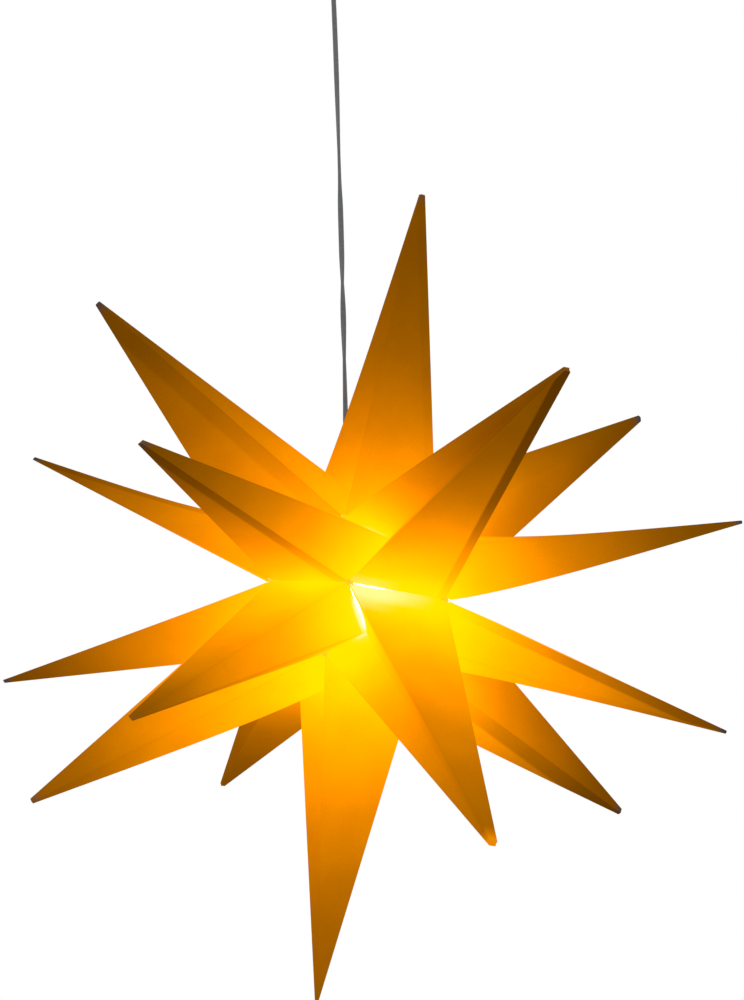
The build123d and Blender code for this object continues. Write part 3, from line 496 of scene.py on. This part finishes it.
def sheet_material(name):
    """Translucent sheet lit from inside; the painted attributes carry the light and the overlap."""
    mat, tree, shader = new_material(name)
    light, leak, press, _ = painted(tree, "glow")
    across, ridge, _, band = painted(tree, "lay")
    cloud = noise_of(tree, *CLOUD)
    grain = noise_of(tree, *GRAIN)
    # Painted shadow of the doubled sheet at the glued overlap, painted shade along the crease of each
    # fold, a cloudy film.
    strip = map_range(tree, across, *(edge * LAY_SCALE for edge in STRIP_EDGE), 1.0, 0.0)
    strip_shadow_factor = math_node(tree, "SUBTRACT", 1.0, product(tree, strip, band))
    crease_shade = map_range(tree, ridge, *(edge * LAY_SCALE for edge in CREASE_EDGE), CREASE_LIGHT, 1.0)
    film = product(tree, map_range(tree, cloud, *MOTTLE, *CLOUD_LIGHT),
                   map_range(tree, grain, *MOTTLE, *GRAIN_LIGHT))
    # Painted shade at the pressed tip, where little light comes through.
    pressed = map_range(tree, press, 0.0, 1.0, 1.0, PRESSED_LIGHT, eased=False)
    amount = product(tree, light, strip_shadow_factor, crease_shade, film, pressed)
    amount = math_node(tree, "SMOOTH_MIN", amount, GLOW_CAP, GLOW_KNEE)
    emitted = node(tree, "ShaderNodeVectorMath", operation="ADD")
    tree.links.new(scaled_colour(tree, FILM_LIGHT, amount), emitted.inputs[0])
    tree.links.new(scaled_colour(tree, FILM_LEAK, leak), emitted.inputs[1])
    tree.links.new(emitted.outputs["Vector"], shader.inputs["Emission Color"])
    shader.inputs["Emission Strength"].default_value = 1.0
    # Reflected colour: orange film, greyer at the pressed tip, darker under the strip's painted shadow.
    stops = [(RAMP_MIDDLE - RAMP_SPREAD, FILM_DARK), (RAMP_MIDDLE + RAMP_SPREAD, FILM_PALE)]
    body = ramp(tree, product(tree, film, RAMP_MIDDLE), stops)
    tipped = mixed(tree, "MIX", press, body, (*FILM_PRESSED, 1.0))
    tree.links.new(mixed(tree, "MULTIPLY", 1.0, tipped, strip_shadow_factor), shader.inputs["Base Color"])
    shader.inputs["Roughness"].default_value = FILM_ROUGH
    shader.inputs["Specular IOR Level"].default_value = 0.0
    height = math_node(tree, "ADD", product(tree, grain, GRAIN_SHARE), cloud)
    add_bump(tree, shader, height, *FILM_BUMP)
    return mat


MAT = {
    "sheet": sheet_material("star_sheet_film"),
    "white": simple_material("white_satin", (0.80, 0.80, 0.77), (0.72, 0.72, 0.69),
                             scale=160.0, rough=0.42, bump=0.08),
    "ceramic": simple_material("white_ceramic", (0.84, 0.82, 0.77), (0.74, 0.72, 0.67),
                               scale=240.0, rough=0.6, bump=0.12),
    "natural": simple_material("natural_moulding", (0.74, 0.75, 0.71), (0.66, 0.67, 0.63),
                               scale=180.0, rough=0.4, bump=0.06),
    "nickel": simple_material("dull_nickel", (0.42, 0.38, 0.31), (0.28, 0.25, 0.20),
                              scale=420.0, rough=0.38, metallic=1.0),
    # Amber studs with a painted orange glow.
    "amber": simple_material("amber_stud", (0.42, 0.17, 0.0), (0.34, 0.13, 0.0),
                             scale=300.0, rough=0.45, bump=0.05, glow=((1.0, 0.46, 0.01), 1.15),
                             specular=0.05),
    "zinc": simple_material("zinc_plate", (0.66, 0.67, 0.69), (0.50, 0.51, 0.53),
                            scale=60.0, rough=0.32, metallic=1.0, bump=0.12, stretch=(1, 14, 14)),
    "brass": simple_material("bare_brass", (0.72, 0.52, 0.22), (0.58, 0.40, 0.16),
                             scale=220.0, rough=0.3, metallic=1.0, bump=0.08),
    "bright": simple_material("lamp_nickel", (0.72, 0.71, 0.68), (0.60, 0.59, 0.56),
                              scale=300.0, rough=0.22, metallic=1.0, bump=0.06),
    "gloss": simple_material("lamp_white", (0.86, 0.86, 0.85), (0.80, 0.80, 0.79),
                             scale=90.0, rough=0.22, bump=0.03),
    "opal": simple_material("opal_diffuser", (0.92, 0.90, 0.84), (0.88, 0.86, 0.80),
                            scale=120.0, rough=0.3, bump=0.03, glow=((1.0, 0.90, 0.62), 4.0)),
    "phosphor": simple_material("chip_phosphor", (0.92, 0.72, 0.2), (0.84, 0.62, 0.14),
                                scale=400.0, rough=0.3, glow=((1.0, 0.9, 0.6), 2.0)),
    "circuit": simple_material("coated_board", (0.07, 0.22, 0.10), (0.04, 0.15, 0.07),
                               scale=500.0, rough=0.4),
    "board": simple_material("lacquered_board", (0.80, 0.80, 0.80), (0.72, 0.72, 0.72),
                             scale=260.0, rough=0.45),
    "flex": simple_material("grey_flex", (0.160, 0.168, 0.171), (0.120, 0.126, 0.129),
                            scale=240.0, rough=0.46, specular=0.35),
}

NODE_LOOKS = {
    "amber": ["corner_stud_caps", "corner_stud_washers", "pole_stud_caps", "pole_stud_washers"],
    "nickel": ["hem_rivets"],
    "white": ["canopy", "hanger_plate", "upper_shade_ring", "lower_shade_ring", "holder_sleeve", "holder_cap",
              "outlet_bushing", "seat_ring", "cord_grip"],
    "zinc": ["ceiling_bracket", "canopy_screws", "grip_screw", "terminal_screws"],
    "brass": ["socket_shell", "socket_contact", "core_tails", "holder_cores", "lamp_contact"],
    "flex": ["cord_ferrule", "cord_swivel", "cord_tail", "pendant_cord"],
    "ceramic": ["contact_carrier"],
    "natural": ["terminal_block"],
    "bright": ["lamp_cap"],
    "gloss": ["lamp_body"],
    "opal": ["lamp_globe"],
    "circuit": ["lamp_driver"],
    "board": ["light_board"],
    "phosphor": ["light_chips"],
}
for look, names in NODE_LOOKS.items():
    for name in names:
        for material_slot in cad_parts[name].material_slots:
            material_slot.material = MAT[look]


# The sheet points
class Point:
    """One hollow point of the star: its base corners, its tip and how the sheet lies between them."""

    def __init__(self, name, corners, held, direction, tip_radius, flap, flap_next, seam_side=0):
        self.name = name
        self.corners = corners
        self.held = held
        self.direction = direction
        self.flap = flap
        self.flap_next = flap_next
        self.seam_side = seam_side
        self.count = len(corners)
        self.is_middle = self.count == MIDDLE_CORNERS
        self.centre = sum(corners) / self.count
        self.base = [c - unit(self.centre - c) * EDGE_LAP for c in corners]
        reach = np.linalg.norm(self.centre - STAR_CENTRE)
        tip_ratio = SLIM_TIPS.get(name, TIP_WIDTH_RATIO)
        apex_radius = (tip_radius - tip_ratio * reach) / (1 - tip_ratio)
        self.apex = STAR_CENTRE + direction * apex_radius
        self.tip = STAR_CENTRE + direction * tip_radius
        self.tops = [on_plane(c, self.apex, self.tip, direction) for c in self.base]
        if self.is_middle:
            self.open_pleats()
        self.flap_facet = flap if self.after(flap) == flap_next else flap_next
        self.flap_scale, self.band_low, self.shadow_high = STRIP_SHADOWS.get(name, STRIP_SHADOW)
        self.base_light, self.tip_light = POINT_LIGHT.get(name, (1.0, 1.0))
        self.press = TIP_PRESS.get(name, 0.0 if self.is_middle else SIDE_PRESS)

    def after(self, corner):
        return (corner + 1) % self.count

    def open_pleats(self):
        """The two side pleats open out flat towards the tip."""
        for q in MIDDLE_PLEATS:
            flat = (self.tops[q - 1] + self.tops[self.after(q)]) / 2
            self.tops[q] = self.tops[q] * TIP_PLEAT_SHARE + flat * (1 - TIP_PLEAT_SHARE)

    def base_edge(self, i):
        return self.base[self.after(i)] - self.base[i]

    def outward(self, i):
        """Unit normal of a facet, away from the inside of the point."""
        normal = unit(np.cross(self.base_edge(i), self.apex - self.base[i]))
        core = STAR_CENTRE + (self.centre - STAR_CENTRE) * CORE_SHARE
        return -normal if normal @ (core - self.base[i]) > 0 else normal

    def fold_bow(self, corner, s):
        """How far a fold leaves its straight line at shares s of its length."""
        outwards = unit((self.base[corner] + self.tops[corner]) / 2 - (self.centre + self.tip) / 2)
        bow = BOWS.get(self.name, {}).get(corner, 0.0)
        return outwards * (bow * np.sin(np.pi * s ** BOW_SKEW))[:, None]

    def edge_places(self, i):
        """Places along a facet's base edge where a line of vertices starts, closer at the folds."""
        length = np.linalg.norm(self.base_edge(i))
        steps = {0.0, *INNER_STEPS}
        for step in EDGE_STEPS:
            steps |= {step / length, 1 - step / length}
        if self.seam_side and i == SEAM_FACET:
            steps |= set(SEAM_STEPS)
        places = []
        for v in sorted(steps):
            if v < LAST_COLUMN and (not places or v - places[-1] > COLUMN_GAP or v < FOLD_COLUMNS):
                places.append(v)
        return places


def stud_room(points, corner, room):
    """True where a place lies in the room of a stud at a corner."""
    out = unit(corner - STAR_CENTRE)
    rel = points - corner
    height = rel @ out
    radial = np.linalg.norm(rel - height[:, None] * out, axis=1)
    return np.where(height > 0, radial < room[0], radial < room[1])


def holder_room(points):
    """True where a place lies in the room of the lamp holder."""
    rel = points - STAR_CENTRE
    height = rel @ SEAM_DIR
    return (np.linalg.norm(rel - height[:, None] * SEAM_DIR, axis=1) < NOTCH_RADIUS) & (height > 0)


def lamp_level(points, s, middle):
    """Light on the sheet from the lamp at the star's middle, weaker up behind the holder."""
    rel = points - STAR_CENTRE
    reach = np.linalg.norm(rel, axis=1)
    up = (rel / reach[:, None]) @ SEAM_DIR
    level = GLOW_LEVEL - GLOW_LOSS_UP * np.clip(up, 0, 1) + GLOW_GAIN_DOWN * np.clip(-up, 0, 1)
    fade = (MIDDLE_FADE if middle else SIDE_FADE) + FADE_DOWN * np.clip(-up / FADE_DOWN_FULL, 0, 1)
    to_pole = np.abs(rel @ POLE_DIR) / reach
    pole_dim = POLE_DIM * smooth((to_pole - POLE_DIM_FROM) / (1 - POLE_DIM_FROM))
    light = level * np.exp(-(reach - GLOW_FROM) / fade) * (1 - pole_dim)
    if middle:
        return light + MIDDLE_FLOOR
    return light * (1 - SIDE_TIP_DIM * smooth((s - SIDE_DIM_FROM) / (1 - SIDE_DIM_FROM)))


def gaping_foot(point, i, v, foot):
    """Foot of a line of vertices, moved inwards where the base edge gapes."""
    if (point.name, i) not in SLITS:
        return foot
    opening, widest, spread = SLITS[point.name, i]
    swell = math.exp(-((v - widest) / spread) ** 2) * min(1.0, SLIT_EASE * v, SLIT_EASE * (1 - v))
    along = unit(point.base_edge(i))
    inward = point.centre - foot
    inward = unit(inward - along * (inward @ along))
    return foot + inward * opening * swell


def cut_share(point, i, low, high):
    """Share of a line up the facet that is cut off at its foot for the studs and the holder."""
    tries = np.linspace(0, CUT_SHARE, CUT_TRIES)
    line = low + (high - low) * tries[:, None]
    inside = np.zeros(len(tries), bool)
    for corner, room in point.held.items():
        if corner in (i, point.after(i)):
            inside |= stud_room(line, point.corners[corner], room)
    if point.seam_side:
        inside |= holder_room(line)
    return tries[np.nonzero(inside)[0].max() + 1] if inside.any() else 0.0


def white_wash(point, i, v, from_edge):
    """White light on a line of vertices at distances from an open base edge."""
    leak = np.zeros(len(from_edge))
    for strength, (reach_first, reach_last), start, end in WASHES.get((point.name, i), []):
        window = smooth((v - start) / WASH_EASE) * smooth((end - v) / WASH_EASE)
        reach = reach_first + (reach_last - reach_first) * v
        leak = leak + strength * window * smooth((1 - from_edge / reach) / WASH_SOFT)
    return leak


def facet_lines(point, i, rng):
    """Lines of vertices up one facet, each with its painted glow and lay."""
    j = point.after(i)
    edge = point.base_edge(i)
    top_edge = point.tops[j] - point.tops[i]
    normal = point.outward(i)
    crown = rng.uniform(*CROWN_RANGE)
    # Painted light and shade of this facet, or a tone that varies by chance.
    facet_light = FACET_LIGHTING.get((point.name, i), rng.uniform(*TONE_RANGE))
    lines = []
    for v in point.edge_places(i):
        low = gaping_foot(point, i, v, point.base[i] + edge * v)
        high = point.tops[i] + top_edge * v
        first = cut_share(point, i, low, high)
        s = first + (1 - first) * LEVELS
        width = np.linalg.norm(edge) * (1 - s) + np.linalg.norm(top_edge) * s
        rise = crown * width * 4 * v * (1 - v) * np.clip((s - first) / CROWN_EASE, 0, 1)
        places = low + (high - low) * s[:, None] + normal * rise[:, None]
        places = places + point.fold_bow(i, s) * (1 - v) + point.fold_bow(j, s) * v

        spread = point.base_light + (point.tip_light - point.base_light) * s
        light = lamp_level(places, s, point.is_middle) * facet_light * spread
        light = light + TIP_GLOW.get(point.name, 0.0) * smooth((s - TIP_GLOW_FROM) / TIP_EASE)
        leak = white_wash(point, i, v, (s - first) * np.linalg.norm(high - low))
        press = point.press * smooth((s - TIP_PRESS_FROM) / TIP_EASE)
        glow = np.stack([light, leak, press, np.ones(len(s))], 1)

        across = np.full(len(s), FAR_OFF)
        if i == point.flap_facet:
            across = (v if i == point.flap else 1 - v) * width * LAY_SCALE / point.flap_scale
        to_fold = min(v, 1 - v) * width * LAY_SCALE
        # How strongly the painted shadow of the glued strip shows along the point.
        band = point.band_low + (point.shadow_high - point.band_low) * smooth(s / SHADOW_EASE)
        lay = np.stack([across, to_fold, np.zeros(len(s)), band], 1)
        lines.append((places, glow, lay))
    return lines


def band_faces(low, high, flip=False):
    """Faces between two closed rings of vertex numbers."""
    faces = []
    for c in range(len(low)):
        d = (c + 1) % len(low)
        faces.append([low[c], high[c], high[d], low[d]] if flip else [low[c], low[d], high[d], high[c]])
    return faces


class SheetMesh:
    """Vertices and faces of one sheet piece, with its painted glow and lay."""

    def __init__(self):
        self.verts = []
        self.faces = []
        self.glows = []
        self.lays = []

    def add(self, places, glows, lays):
        """Add vertices and give their numbers."""
        start = len(self.verts)
        self.verts.extend(places)
        self.glows.extend(glows)
        self.lays.extend(lays)
        return range(start, len(self.verts))

    def add_even(self, places, light, leak):
        """Add vertices of an evenly lit piece and give their numbers."""
        glow = np.array([light, leak, 0, 1])
        lay = np.array([FAR_OFF, FAR_OFF, 0, 0])
        return self.add(places, [glow] * len(places), [lay] * len(places))

    def add_rings(self, places, glows, lays):
        return [self.add(*ring) for ring in zip(places, glows, lays)]

    def add_tube(self, rings, flip=False):
        for low, high in zip(rings, rings[1:]):
            self.faces.extend(band_faces(low, high, flip))

    def add_fan(self, ring, middle, flip=False):
        for c in range(len(ring)):
            d = (c + 1) % len(ring)
            self.faces.append([ring[d], ring[c], middle] if flip else [ring[c], ring[d], middle])

    def add_closed_tube(self, rings):
        self.add_tube(rings)
        self.faces.append(list(rings[0])[::-1])
        self.faces.append(list(rings[-1]))

    def add_plate(self, outline, normal, light, leak):
        """Flat piece of sheet with an outline in its middle plane."""
        lift = normal * SHEET / 2
        rings = [self.add_even([p + side * lift for p in outline], light, leak) for side in (1, -1)]
        self.add_closed_tube(rings)

    def to_object(self, name):
        mesh = bpy.data.meshes.new(name)
        mesh.from_pydata([tuple(p) for p in self.verts], [], self.faces)
        for label, values in (("glow", self.glows), ("lay", self.lays)):
            layer = mesh.color_attributes.new(label, "FLOAT_COLOR", "POINT")
            layer.data.foreach_set("color", np.array(values, np.float32).ravel())
        mesh.validate()
        obj = add_object(name, mesh)
        bpy.context.view_layer.objects.active = obj
        obj.select_set(True)
        bpy.ops.object.mode_set(mode="EDIT")
        bpy.ops.mesh.select_all(action="SELECT")
        bpy.ops.mesh.normals_make_consistent(inside=False)
        bpy.ops.object.mode_set(mode="OBJECT")
        obj.select_set(False)
        mesh.shade_smooth()
        mesh.set_sharp_from_angle(angle=SHARP_ANGLE)
        mesh.materials.append(MAT["sheet"])
        return obj


def inner_skin(point, outer, to_fold):
    """The sheet's inner side, one thickness in from the outer one, up to the solid tip."""
    along = np.zeros_like(outer)
    along[1:-1] = outer[2:] - outer[:-2]
    along[0], along[-1] = outer[1] - outer[0], outer[-1] - outer[-2]
    turn = np.roll(outer, -1, axis=1) - np.roll(outer, 1, axis=1)
    normals = np.cross(turn, along)
    normals /= np.linalg.norm(normals, axis=2, keepdims=True)
    axis_points = outer.mean(axis=1, keepdims=True)
    if np.einsum("abc,abc->ab", normals, outer - axis_points).mean() < 0:
        normals = -normals
    solid_from = point.tip @ point.direction - TIP_SOLID
    depth = sum(1 for ring in outer if (ring @ point.direction).mean() < solid_from)
    thickness = SHEET * np.clip(to_fold[:depth] / FOLD_PRESS, FOLD_SHEET, 1)
    return outer[:depth] - normals[:depth] * thickness


def add_skins(sheet, point, outer, glow, lay):
    """Both sides of the folded sheet, joined along the base, with the blunt pressed tip."""
    inner = inner_skin(point, outer, lay[..., 1:2] / LAY_SCALE)
    depth = len(inner)
    inside = glow[:depth].copy()
    inside[..., 0] *= INSIDE_GAIN
    from_lamp = np.linalg.norm(inner - STAR_CENTRE, axis=2) - GLOW_FROM
    inside[..., 1] = INSIDE_WHITE * np.exp(-from_lamp / INSIDE_FADE)
    outer_rings = sheet.add_rings(outer, glow, lay)
    inner_rings = sheet.add_rings(inner, inside, lay[:depth])
    sheet.add_tube(outer_rings)
    sheet.add_tube(inner_rings, flip=True)
    sheet.add_tube([outer_rings[0], inner_rings[0]], flip=True)
    inner_end = sheet.add([inner[-1].mean(axis=0)], [inside[-1, 0]], [lay[depth - 1, 0]])
    sheet.add_fan(inner_rings[-1], inner_end[0], flip=True)
    middle = outer[-1].mean(axis=0)
    lift = point.direction * TIP_ROUND
    rim = sheet.add(middle + (outer[-1] - middle) * TIP_RIM + lift, glow[-1], lay[-1])
    end = sheet.add([middle + lift], [glow[-1, 0]], [lay[-1, 0]])
    sheet.add_tube([outer_rings[-1], rim])
    sheet.add_fan(rim, end[0])


def add_strip(sheet, point):
    """Glued overlap strip under one facet, along a fold."""
    normal = point.outward(point.flap_facet)
    rings = []
    for share in FLAP_SHARES:
        at_fold, at_next = (
            point.base[q] + (point.tops[q] - point.base[q]) * share + point.fold_bow(q, np.array([share]))[0]
            for q in (point.flap, point.flap_next)
        )
        over = at_next - at_fold
        wide = min(FLAP_WIDTH * point.flap_scale, np.linalg.norm(over) / 2)
        near, far = at_fold + unit(over) * FLAP_INSET, at_fold + unit(over) * wide
        upper, lower = (normal * depth * SHEET for depth in FLAP_DEPTHS)
        rings.append(sheet.add_even([near - upper, far - upper, far - lower, near - lower], *STRIP_LIGHT))
    sheet.add_closed_tube(rings)


def add_tabs(sheet, point):
    """Corner tabs that the studs grip."""
    for corner, room in point.held.items():
        vertex = point.corners[corner]
        foot = point.base[corner]
        out = unit(vertex - STAR_CENTRE)
        root = on_plane(foot, point.apex, vertex, out)
        legs = []
        for other in (point.base[corner - 1], point.base[point.after(corner)]):
            leg = unit(np.cross(out, np.cross(point.apex - foot, other - foot)))
            legs.append(leg if leg @ (other - foot) > 0 else -leg)
        outline = [root + unit(legs[0] + legs[1]) * TAB_ROOT]
        outline += [root + unit(legs[0] * (1 - q) + legs[1] * q) * room[2] for q in TAB_STEPS]
        sheet.add_plate(outline, out, *TAB_LIGHT)


def add_hem(sheet, point):
    """Hem at the seam, with trimmed corners, laid on the hanger plate."""
    length, width = HEM_SIZE
    middle = in_star(0, -point.seam_side * (HEM_GAP + width / 2), HEM_HEIGHT)
    outline = []
    for sx, sy in ((-1, -1), (1, -1), (1, 1), (-1, 1)):
        trims = [(HEM_TRIM, 0), (0, HEM_TRIM)]
        for trim_x, trim_y in trims if sx == sy else trims[::-1]:
            along = POLE_DIR * sx * (length / 2 - trim_x)
            outline.append(middle + along + AWAY_DIR * sy * (width / 2 - trim_y))
    sheet.add_plate(outline, SEAM_DIR, *HEM_LIGHT)


def build_point(point):
    rng = random.Random(point.name)
    lines = [line for i in range(point.count) for line in facet_lines(point, i, rng)]
    outer, glow, lay = (np.array(part).transpose(1, 0, 2) for part in zip(*lines))
    sheet = SheetMesh()
    add_skins(sheet, point, outer, glow, lay)
    add_strip(sheet, point)
    add_tabs(sheet, point)
    if point.seam_side:
        add_hem(sheet, point)
    obj = sheet.to_object("sheet_" + point.name)
    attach(obj, "star")
    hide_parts(point.name)


for k in range(GORES):
    along, across, longer = MIDDLE_LEAN[k]
    build_point(Point(
        f"middle_point_{k + 1}",
        [ring_vertex(k, -1), pleat_vertex(k, -1), ring_vertex(k + 1, -1),
         ring_vertex(k + 1, 1), pleat_vertex(k, 1), ring_vertex(k, 1)],
        {0: CORNER_ROOM, 2: CORNER_ROOM, 3: CORNER_ROOM, 5: CORNER_ROOM},
        tip_direction(gore_angles[k] + along, across),
        MIDDLE_TIP + longer * MM,
        flap=3,
        flap_next=2,
        seam_side={0: 1, GORES - 1: -1}.get(k, 0),
    ))
for side, ring_name, latitude, leans, twist, (flap, flap_next) in (
    (-1, "left", LEFT_LATITUDE, LEFT_LEAN, RING_TWIST, (3, 0)),
    (1, "right", RIGHT_LATITUDE, RIGHT_LEAN, -RING_TWIST, (1, 2)),
):
    for k in range(GORES):
        along, across, longer = leans[k]
        build_point(Point(
            f"{ring_name}_point_{k + 1}",
            [pole_vertex(side), ring_vertex(k, side), pleat_vertex(k, side), ring_vertex(k + 1, side)],
            {0: POLE_ROOM, 1: CORNER_ROOM, 3: CORNER_ROOM},
            tip_direction(gore_angles[k] + twist + along, side * latitude + across),
            SIDE_TIP + longer * MM,
            flap=flap,
            flap_next=flap_next,
        ))

# The pendant flex: its route, half sizes of its flat section and the waist between its two cores.
PIVOT = (0.0, 0.0, -0.0315)
FLEX_BELOW_OUTLET = tuple(STAR_CENTRE + np.array([0.0012, 0.0, 0.600]))
FLEX_BEND = tuple(STAR_CENTRE + np.array([-0.0045, -0.0036, 0.128]))
FLEX_END = tuple(in_star(0, 0, 0.0795))
FLEX_ROUTE = [PIVOT, FLEX_BELOW_OUTLET, FLEX_BEND, FLEX_END]
FLEX_STATIONS = 60
FLEX_WIDE = 2.2 * MM
FLEX_THIN = 1.35 * MM
FLEX_WAIST = 0.7 * MM
FLEX_WAIST_DEPTH = 0.3
FLEX_SHOULDER = 1.12
FLEX_SECTION = 24
# Slow turn of the flat flex along its length: distance from the outlet in metres, degrees.
FLEX_TURNS = [
    (0.0, -45), (0.09, 0), (0.143, 5), (0.232, 85), (0.276, 97), (0.308, 175),
    (0.355, 190), (0.386, 270), (0.42, 360), (0.462, 450), (0.59, 560),
]
TURN_BLEND = 5


def flex_path():
    """Places along the route of the flex, from the outlet to the holder."""
    route = bpy.data.curves.new("flex_route", "CURVE")
    route.dimensions = "3D"
    route.resolution_u = FLEX_STATIONS
    spline = route.splines.new("NURBS")
    spline.points.add(len(FLEX_ROUTE) - 1)
    for spline_point, place in zip(spline.points, FLEX_ROUTE):
        spline_point.co = (*place, 1.0)
    spline.order_u = 3
    spline.use_endpoint_u = True
    guide = add_object("flex_route", route)
    bpy.context.view_layer.update()
    drawn = guide.evaluated_get(bpy.context.evaluated_depsgraph_get())
    line = bpy.data.meshes.new_from_object(drawn)
    places = np.array([v.co for v in line.vertices])
    bpy.data.objects.remove(guide)
    bpy.data.meshes.remove(line)
    bpy.data.curves.remove(route)
    return places


def flex_turns(places):
    """Turn of the flat section at each place, softened where its pace changes."""
    run = np.concatenate([[0], np.cumsum(np.linalg.norm(np.diff(places, axis=0), axis=1))])
    turns = np.radians(np.interp(run, *zip(*FLEX_TURNS)))
    padded = np.pad(turns, TURN_BLEND // 2, mode="edge")
    return np.convolve(padded, np.ones(TURN_BLEND) / TURN_BLEND, mode="valid")


def flex_mesh(places):
    angles = np.linspace(0, 2 * math.pi, FLEX_SECTION, endpoint=False)
    section_x = FLEX_WIDE * np.cos(angles)
    waist = FLEX_SHOULDER - FLEX_WAIST_DEPTH * np.exp(-(section_x / FLEX_WAIST) ** 2)
    section_y = FLEX_THIN * np.sin(angles) * waist
    verts, rings = [], []
    for place, tangent, turn in zip(places, np.gradient(places, axis=0), flex_turns(places)):
        tangent = unit(tangent)
        right = unit(np.array([1.0, 0, 0]) - tangent * tangent[0])
        forward = np.cross(tangent, right)
        wide = right * math.cos(turn) + forward * math.sin(turn)
        thin = -right * math.sin(turn) + forward * math.cos(turn)
        rings.append(range(len(verts), len(verts) + FLEX_SECTION))
        verts.extend(tuple(place + wide * x + thin * y) for x, y in zip(section_x, section_y))
    faces = [face for low, high in zip(rings, rings[1:]) for face in band_faces(low, high)]
    faces += [list(rings[0])[::-1], list(rings[-1])]
    mesh = bpy.data.meshes.new("flat_flex")
    mesh.from_pydata(verts, [], faces)
    mesh.shade_smooth()
    mesh.materials.append(MAT["flex"])
    return mesh


path = flex_path()
flex = add_object("flat_flex", flex_mesh(path))
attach(flex, "cord")
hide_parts("pendant_cord")

# Stage: the floor's size and its paleness to the eye inwards and at the rim, light of the world.
FLOOR_HEIGHT = -3.0
FLOOR_HALF = 9.0
FLOOR_PALE = 0.36
FLOOR_WHITE = 1.0
FLOOR_FADE = (0.05, 0.75)
WORLD_LIGHT = 0.45
WORLD_WHITE = 1.0
# Studio lamps: name, place, target and power.
LAMP_SIZE = 1.6
LAMPS = [
    ("key", (-1.6, -2.2, -0.1), (0, 0, -0.6), 14.0),
    ("fill", (1.2, -1.6, -2.0), (0, 0, -0.6), 8.0),
    ("back", (0.5, 2.5, 0.2), (0, 0, -0.4), 14.0),
]
# Camera below the star: its tilt and roll, its place from the star's centre along its own axes,
# lens and sensor in mm, nearest and farthest it sees.
VIEW_PITCH = math.radians(34.172)
VIEW_ROLL = math.radians(-2.9)
EYE_BACK = 1.3306
EYE_RIGHT = 0.00873
EYE_UP = 0.06366
LENS = 67.9
SENSOR = 36.0
SIGHT = (0.05, 50.0)


def seen_rays(tree):
    """One for the rays that show the stage itself, nothing for the light it throws."""
    rays = node(tree, "ShaderNodeLightPath").outputs
    mirrored = math_node(tree, "MAXIMUM", rays["Is Glossy Ray"], rays["Is Transmission Ray"])
    return math_node(tree, "MAXIMUM", rays["Is Camera Ray"], mirrored)


def floor_material():
    """Pale floor that turns white towards its rim, where it meets the white background."""
    mat = simple_material("pale_floor", (0.88, 0.88, 0.88), (0.86, 0.86, 0.86),
                          scale=3.0, rough=0.8, bump=0.0, glow=((1.0, 1.0, 1.0), 0.0), specular=0.0)
    tree = mat.node_tree
    spread = node(tree, "ShaderNodeMapping", Scale=(1 / FLOOR_HALF, 1 / FLOOR_HALF, 0.0))
    inwards = node(tree, "ShaderNodeTexGradient", gradient_type="SPHERICAL")
    tree.links.new(node(tree, "ShaderNodeTexCoord").outputs["Object"], spread.inputs["Vector"])
    tree.links.new(spread.outputs["Vector"], inwards.inputs["Vector"])
    paleness = map_range(tree, inwards.outputs["Fac"], *FLOOR_FADE, FLOOR_WHITE, FLOOR_PALE)
    strength = product(tree, seen_rays(tree), paleness)
    tree.links.new(strength, tree.nodes["Principled BSDF"].inputs["Emission Strength"])
    return mat


def white_world():
    world = bpy.data.worlds.new("studio")
    world.use_nodes = True
    tree = world.node_tree
    background = tree.nodes["Background"]
    background.inputs["Color"].default_value = (1.0, 1.0, 1.0, 1.0)
    strength = map_range(tree, seen_rays(tree), 0.0, 1.0, WORLD_LIGHT, WORLD_WHITE, eased=False)
    tree.links.new(strength, background.inputs["Strength"])
    return world


def area_light(name, place, target, power):
    data = bpy.data.lights.new(name, "AREA")
    data.shape = "DISK"
    data.size = LAMP_SIZE
    data.energy = power
    lamp = add_object(name, data)
    lamp.visible_camera = False
    lamp.location = place
    lamp.rotation_euler = (Vector(target) - Vector(place)).to_track_quat("-Z", "Y").to_euler()


def photo_camera():
    data = bpy.data.cameras.new("camera")
    data.sensor_width = SENSOR
    data.lens = LENS
    data.clip_start, data.clip_end = SIGHT
    forward = Vector((0.0, math.cos(VIEW_PITCH), math.sin(VIEW_PITCH)))
    level_up = Vector((0.0, -math.sin(VIEW_PITCH), math.cos(VIEW_PITCH)))
    level_right = Vector((1.0, 0.0, 0.0))
    right = level_right * math.cos(VIEW_ROLL) + level_up * math.sin(VIEW_ROLL)
    up = level_up * math.cos(VIEW_ROLL) - level_right * math.sin(VIEW_ROLL)
    eye = Vector(STAR_CENTRE) - EYE_BACK * forward + EYE_RIGHT * right + EYE_UP * up
    camera = add_object("camera", data)
    camera.matrix_world = Matrix.Translation(eye) @ Matrix((right, up, -forward)).transposed().to_4x4()
    return camera


floor_mesh = bpy.data.meshes.new("floor")
floor_corners = [
    (x * FLOOR_HALF, y * FLOOR_HALF, FLOOR_HEIGHT) for x, y in ((-1, -1), (1, -1), (1, 1), (-1, 1))
]
floor_mesh.from_pydata(floor_corners, [], [[0, 1, 2, 3]])
floor_mesh.materials.append(floor_material())
floor = add_object("floor", floor_mesh)
bpy.context.scene.world = white_world()
for lamp_form in LAMPS:
    area_light(*lamp_form)
bpy.context.scene.camera = photo_camera()
bpy.context.scene.view_settings.view_transform = "Standard"
